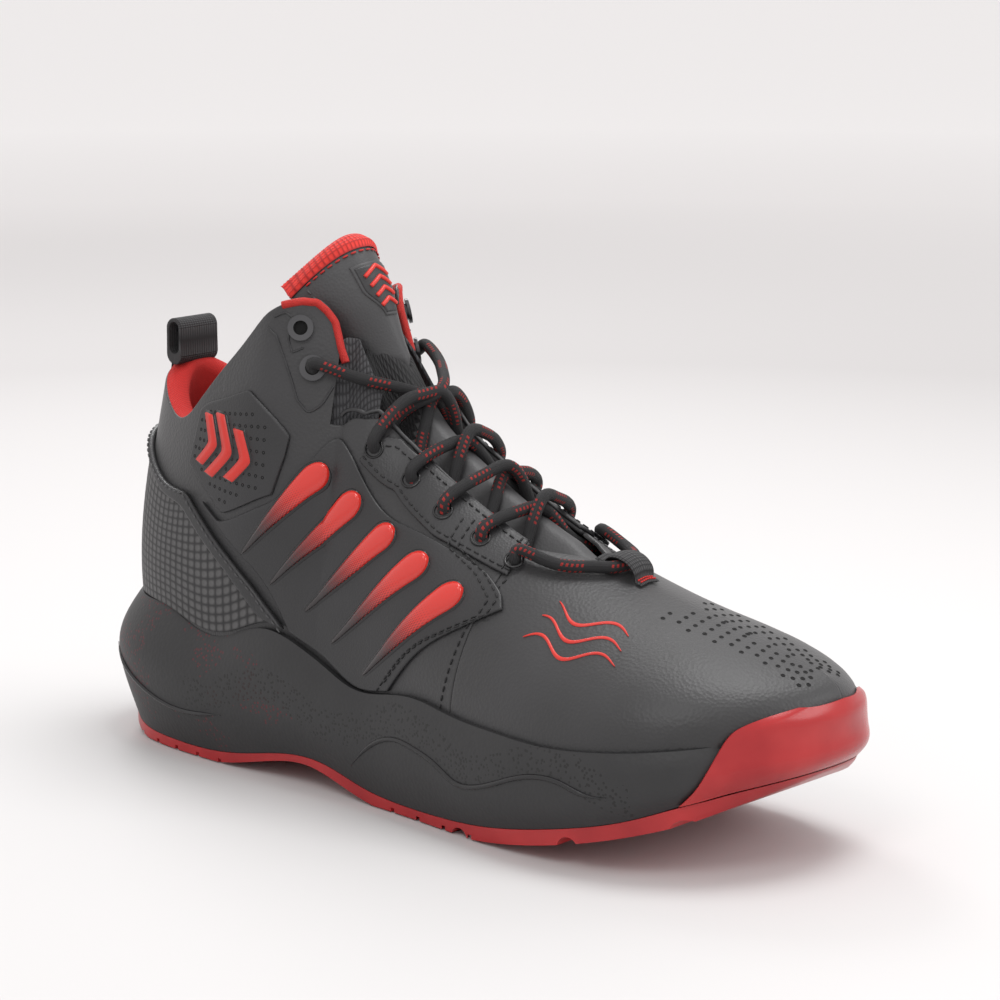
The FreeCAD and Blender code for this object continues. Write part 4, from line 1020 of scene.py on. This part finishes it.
def crossing(side, a, b, high):
    """From hole a over the tongue and under the edge beside hole b; the high run lies on the low one."""
    top = a[0] < 0.4
    middle = 0.462 if top else (a[0] + b[0]) / 2
    lift = float(tongue_face(middle, 1.0)) + 0.3 + LACE_R + (2 * LACE_R + 0.4 if high else 0)
    rise = 4.4 if high else 0.0
    if top:
        start, end = xyz(side, *EYELETS[1], 3.6), xyz(side, middle, 1.0, lift)
        push = frame_at(side, 0.40, 0.80)[0]
        return [mix(start, end, 0.3) + push * (1.6 + rise * 0.3),
                mix(start, end, 0.65) + push * (1.2 + rise * 0.4), end,
                xyz(-side, 0.458, 0.93, mix(lift, IN, 0.5)), xyz(-side, 0.450, 0.82, IN)]
    return [xyz(side, mix(a[0], middle, 0.42), 0.85, OUT - 0.3 + rise * 0.2),
            xyz(side, mix(a[0], middle, 0.72), 0.93, mix(OUT, lift, 0.6)),
            xyz(side, middle, 1.0, lift),
            xyz(-side, mix(middle, b[0], 0.3), 0.935, mix(lift, IN, 0.42)),
            xyz(-side, mix(middle, b[0], 0.6), 0.86, IN + 0.1)]


def lace_end(side):
    """From behind the lower eyelet out through it."""
    d = frame_at(side, *EYELETS[1])[1]
    return [xyz(side, *EYELETS[1], h) for h in (-9, -3, 1.4)] + [xyz(side, *EYELETS[1], 3.2) + d * 1.4]


def lace_path():
    side, here = -1, EYELETS[1]
    path = lace_end(side)
    for hole in LACE_HOLES:
        path += crossing(side, here, hole, False)
        side, here = -side, hole
        path += hole_turn(side, *hole, True)
    front = [(0.640, 0.80, 2.9), (0.668, 0.88, 2.6), (0.682, 0.94, 2.5)]
    path += [xyz(side, *p) for p in front] + [xyz(side, 0.687, 1.0, 2.5)]
    side = -side
    path += [xyz(side, *p) for p in front[::-1]]
    for hole, following in zip(LACE_HOLES[::-1], LACE_HOLES[-2::-1] + [EYELETS[1]]):
        path += hole_turn(side, *hole, False)
        path += crossing(-side, following, hole, True)[::-1]
        side = -side
    return path + lace_end(side)[::-1]


lace = tube_mesh("lace", smooth_path(lace_path(), 0.7), 2.02, "lace", 16, "shoe")
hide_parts("laces")

# dark rings round the lace holes
for label, side in SIDES.items():
    for k, (s, t) in enumerate(LACE_HOLES):
        n, d = frame_at(side, s, t)
        m = np.cross(n, d)
        a = np.linspace(0, 2 * math.pi, 33)[:, None]
        ring = xyz(side, s, t, 1.45) + (d * np.cos(a) + m * np.sin(a)) * 3.0
        tube_mesh(f"hole_ring_{label}_{k}", ring, 0.42, "gloss", cap=False)


# ---- webbing keeper over the lowest run ------------------------------------------------------------
def keeper():
    s = mix(0.660, 0.712, np.linspace(0, 1, 60))[:, None]
    v = np.linspace(-1, 1, 15)[None, :]
    hump = 0.3 + 4.95 * np.sqrt(np.maximum(0, 1 - np.minimum(1, np.abs(s - 0.687) / 0.0175) ** 2)) ** 0.9
    s, v, hump = np.broadcast_arrays(s, v, hump)
    t = 1 - np.abs(v) * 0.05
    side = np.where(v < 0, -1.0, 1.0)

    def place(offset):
        return xyz(side, s, t, hump + offset)
    obj = slab_mesh("keeper_webbing", place, 1.0, 0.0, "webbing", 0.45, "shoe",
                    pair(s * STATION_M, v * 0.0065))
    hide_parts("lace_keeper")
    for row in (0.7065, 0.7095):
        t = np.concatenate([np.linspace(0.957, 1, 12), np.linspace(0.999, 0.957, 12)])
        add_stitches(*skin(np.repeat([-1, 1], 12), row, t, 1.35), 1.1, 0.9, 0.36, "thread_red")


keeper()

# ---- pull tab: webbing loop on the heel collar -------------------------------------------------------
TAB_X, TAB_Z = -127.0, 133.6


def stadium(radius, low, high, count=24):
    a = np.linspace(math.pi, 2 * math.pi, count)
    bottom = np.stack([TAB_X + radius * np.cos(a), low + radius * np.sin(a)], -1)
    a = np.linspace(0, math.pi, count)
    return np.concatenate([bottom, np.stack([TAB_X + radius * np.cos(a), high + radius * np.sin(a)], -1)])


def tab():
    outer, inner = stadium(3.7, TAB_Z - 0.9, TAB_Z + 8.1), stadium(2.3, TAB_Z + 1.6, TAB_Z + 8.1)
    left, right = -7.0, 11.0
    y = mix(left, right, spread(14, right - left, 0.6))[:, None]
    fall = rounding(0.5, np.minimum(y - left, right - y))[..., None]
    middle = (outer + inner) / 2
    n, half = len(outer), len(outer) * len(y)
    points, faces = [], []
    for shape, base, turn in ((outer, 0, 1), (inner, half, -1)):
        toward = (middle - shape) / np.linalg.norm(middle - shape, axis=1, keepdims=True)
        x, z = np.moveaxis(shape + toward * fall, -1, 0)
        points.append(np.stack(np.broadcast_arrays(x, y, z), -1))
        for a in range(base, base + half - n, n):
            for k in range(n):
                j = (k + 1) % n
                faces.append((a + k, a + j, a + n + j, a + n + k)[::turn])
    last = half - n
    for k in range(n):
        j = (k + 1) % n
        faces.append((k, j, half + j, half + k)[::-1])
        faces.append((last + k, last + j, half + last + j, half + last + k))
    uv = pair(np.arange(n) * 0.0007, y * MM)
    obj = add_mesh("tab_webbing", points, faces, "webbing", None, [uv, uv], "pull_tab")
    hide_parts("pull_tab")
    # the outer end of the webbing, sewn down behind the collar
    s, t = np.meshgrid(np.linspace(-0.028, 0.028, 11), np.linspace(0.78, 0.99, 20))

    def place(offset):
        return xyz(1, s, t, 0.3 + offset)
    slab_mesh("tab_tail_out", place, 1.1, 0.0, "webbing", 0.4, "shoe",
              pair(t * HEIGHT_M, s * STATION_M), flip=True)
    for height in (0.80, 0.83):
        add_stitches(*skin(1, np.linspace(-0.025, 0.025, 30), height, 1.45), 1.6, 1.2, 0.3, "thread_red")


tab()

# ---- painted waves, perforations, sole lines ------------------------------------------------------------
points, faces = [], []
for k, lift in enumerate((0.0, 0.085, 0.17)):
    i = np.linspace(0, 9 - k, 70)
    s, t = 0.655 + 0.006 * k + 0.011 * i, 0.49 + lift + 0.035 * np.sin(1.1 * i + k) + 0.005 * i
    w = 0.008 * np.sin(np.pi * i / (9 - k)) ** 0.5 + 0.001
    grid = np.stack([xyz(-1, s, t - w, 0.02), xyz(-1, s, t - w * 0.6, 0.32), xyz(-1, s, t + w * 0.6, 0.32),
                     xyz(-1, s, t + w, 0.02)], 1)
    faces += grid_faces(70, 4, len(points), True)
    points += grid.reshape(-1, 3).tolist()
waves = add_mesh("vamp_waves", points, faces, "red_gloss")
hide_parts("vamp_graphic")


def dots(name, spots, radius, height, base_offset=0.0):
    """Small domed dimples with a rim, coloured near black: painted shade standing for the dark insides of
    holes.
    """
    points, faces = [], []
    for side, s, t in spots:
        n, d = frame_at(side, s, min(t, 0.997))
        m = np.cross(n, d)
        c = xyz(side, s, t, base_offset)
        base = len(points)
        for r, h in ((1.3, 0.0), (1.0, 0.14), (0.75, 0.10), (0.5, -0.02)):
            for j in range(10):
                a = 2 * math.pi * j / 10
                points.append(c + (d * math.cos(a) + m * math.sin(a)) * radius * r + n * (h * height - 0.03))
        for i in range(3):
            for j in range(10):
                q = base + i * 10
                faces.append((q + j, q + (j + 1) % 10, q + 10 + (j + 1) % 10, q + 10 + j))
        faces.append(tuple(base + 30 + j for j in range(10)))
    add_mesh(name, points, faces, "hole")


# the rows of holes on the toe run between these two lines
TOE_LOW = [(0.746, 0.854), (0.80, 0.832), (0.841, 0.835), (0.856, 0.832), (0.875, 0.815), (0.90, 0.75),
           (0.937, 0.698)]
TOE_HIGH = [(0.75, 0.90), (0.768, 0.995), (0.875, 0.995), (0.93, 0.93)]
spots = []
for i in range(14):
    s = 0.752 + 0.0135 * i
    low, high = np.interp(s, *zip(*TOE_LOW)), np.interp(s, *zip(*TOE_HIGH))
    step = 3.9 * local_axes(-1, s, 0.9)[1]
    for k in range(int((high - low) / step) + 1):
        for side in (-1, 1):
            spots.append((side, s, min(low + step * (k + (0.5 if i % 2 else 0.0)), 0.99)))
dots("perforations", spots, 0.62, 1.0)
# the upper eyelet's hole is a near-black disc of painted shade
dots("eyelet_holes", [(side, *EYELETS[0]) for side in (-1, 1)], 1.85, 0.3, 0.05)

hexagon = [(0.222, 0.76), (0.278, 0.525), (0.336, 0.495), (0.345, 0.56), (0.348, 0.60), (0.301, 0.81),
           (0.24, 0.91), (0.232, 0.91)]


def inside(point, outline):
    hit = False
    for (x0, y0), (x1, y1) in zip(outline, outline[1:] + outline[:1]):
        if (y0 > point[1]) != (y1 > point[1]) and point[0] < (x1 - x0) * (point[1] - y0) / (y1 - y0) + x0:
            hit = not hit
    return hit


ks, kt = local_axes(-1, 0.29, 0.70)
field = [(0.21 + i * 3.4 * ks, 0.47 + (j + 0.5 * (i % 2)) * 3.8 * kt) for i in range(16) for j in range(14)]
spots = [(side, *spot) for side in (-1, 1) for spot in field if inside(spot, hexagon)]
dots("patch_perforations", spots, 0.5, 1.0, 1.12)


def wall_place(side, x, z, out):
    """A point on the midsole's side wall."""
    s = np.array([station_at(v) for v in x])
    h = (np.asarray(z) - bond_z(x)) / (edge_z(x) - bond_z(x))
    heel = Spline([0, 0.3, 0.6, 0.8, 1], [6.5, 2.2, 0.3, 3.2, 8.8])(h)
    fore = Spline([0, 0.3, 0.6, 0.8, 1], [4.2, 0.8, 0.5, 1.2, 2.9])(h)
    inset = mix(fore, heel, smooth(-40, -110, np.asarray(x))) + 2.2 * smooth(0.852, 0.892, s)
    px, py = plan(side, s, inset - out)[:2]
    return np.stack([px, py, z], -1)


WAVE = [(-10.6, 12.5), (-1, 21), (11, 26), (22, 25), (32, 22.4), (41.5, 18.6), (50.5, 19), (59, 21.8),
        (72, 26.7), (79.5, 28), (87, 27.6), (96, 25.3), (103.6, 25.5)]
CREASE = [(-138, 31), (-128, 26), (-115, 20.5), (-102, 17), (-88, 16.5), (-72, 18.5)]


def sole_line(name, side, marks, count, radius):
    """Raised line on the midsole's wall through (x, z) marks, thinner at both ends."""
    first, last = marks[0][0], marks[-1][0]
    x = np.linspace(first, last, count)
    taper = np.clip(np.minimum(x - first, last - x) / 10, 0.15, 1)
    path = wall_place(side, x, Spline(*zip(*marks))(x), -0.15)
    tube_mesh(name, path, radius * taper, "gloss")


for label, side in SIDES.items():
    sole_line(f"sole_wave_{label}", side, WAVE, 140, 0.85)
    sole_line(f"heel_crease_{label}", side, CREASE, 80, 0.8)


# ---- stitching ------------------------------------------------------------------------------
def inset_line(points, ds, dt):
    return [(s + ds, t + dt) for s, t in points]


for side in (-1, 1):
    seam = [(0.556, 0.775), (0.554, 0.645), (0.588, 0.628), (0.612, 0.575), (0.609, 0.500), (0.572, 0.3565),
            (0.525, 0.198), (0.494, 0.081)]
    for k in (0, 1):
        stitch(side, inset_line(seam, -0.0085 * k, -0.022 * k), 1.3)
    stitch(side, inset_line(EYESTAY_LOW, 0.002, 0.022), 1.35)
    stitch(side, inset_line(EYESTAY_HIGH, 0.0, -0.03), 1.35)
    stitch(side, [(0.6, 0.67), (0.598, 0.84)], 1.35)
    stitch(side, [(0.574, 0.05), (0.590, 0.40), (0.608, 0.66)], -0.05)
    stitch(side, [(0.640, 0.86), (0.660, 0.93), (0.676, 0.99)], -0.05)
    stitch(side, [(0.612, 0.82), (0.634, 0.85), (0.654, 0.91), (0.672, 0.975)], -0.05, kind="thread_grey")
stitch(1, around_heel([(s, t - 0.013) for s, t in STRAP_HIGH]), 2.5, kind="thread_grey")
build_stitches()

# ---- floor and the end --------------------------------------------------------------------
mesh = bpy.data.meshes.new("floor")
mesh.from_pydata([(-6, -6, -0.0005), (6, -6, -0.0005), (6, 6, -0.0005), (-6, 6, -0.0005)], [], [(0, 1, 2, 3)])
floor = bpy.data.objects.new("floor", mesh)
bpy.context.scene.collection.objects.link(floor)
# painted shade: the floor's colour is darkest up to about a metre from the middle, where the lamps light it
# most, and lighter further off, so that it renders evenly bright
look = Look("floor_white", (0.8, 0.8, 0.8), 0.8)
reach = look.mapped("ShaderNodeVectorMath")
reach.operation = "LENGTH"
look.set("Base Color", look.ramp(Wire(look.tree, reach.outputs["Value"]) * 0.4,
                                 (0.10, (0.61, 0.605, 0.605)), (0.36, (0.53, 0.52, 0.52)),
                                 (0.72, (0.80, 0.79, 0.79)), (1.0, (0.91, 0.905, 0.905))))
mesh.materials.append(look.mat)
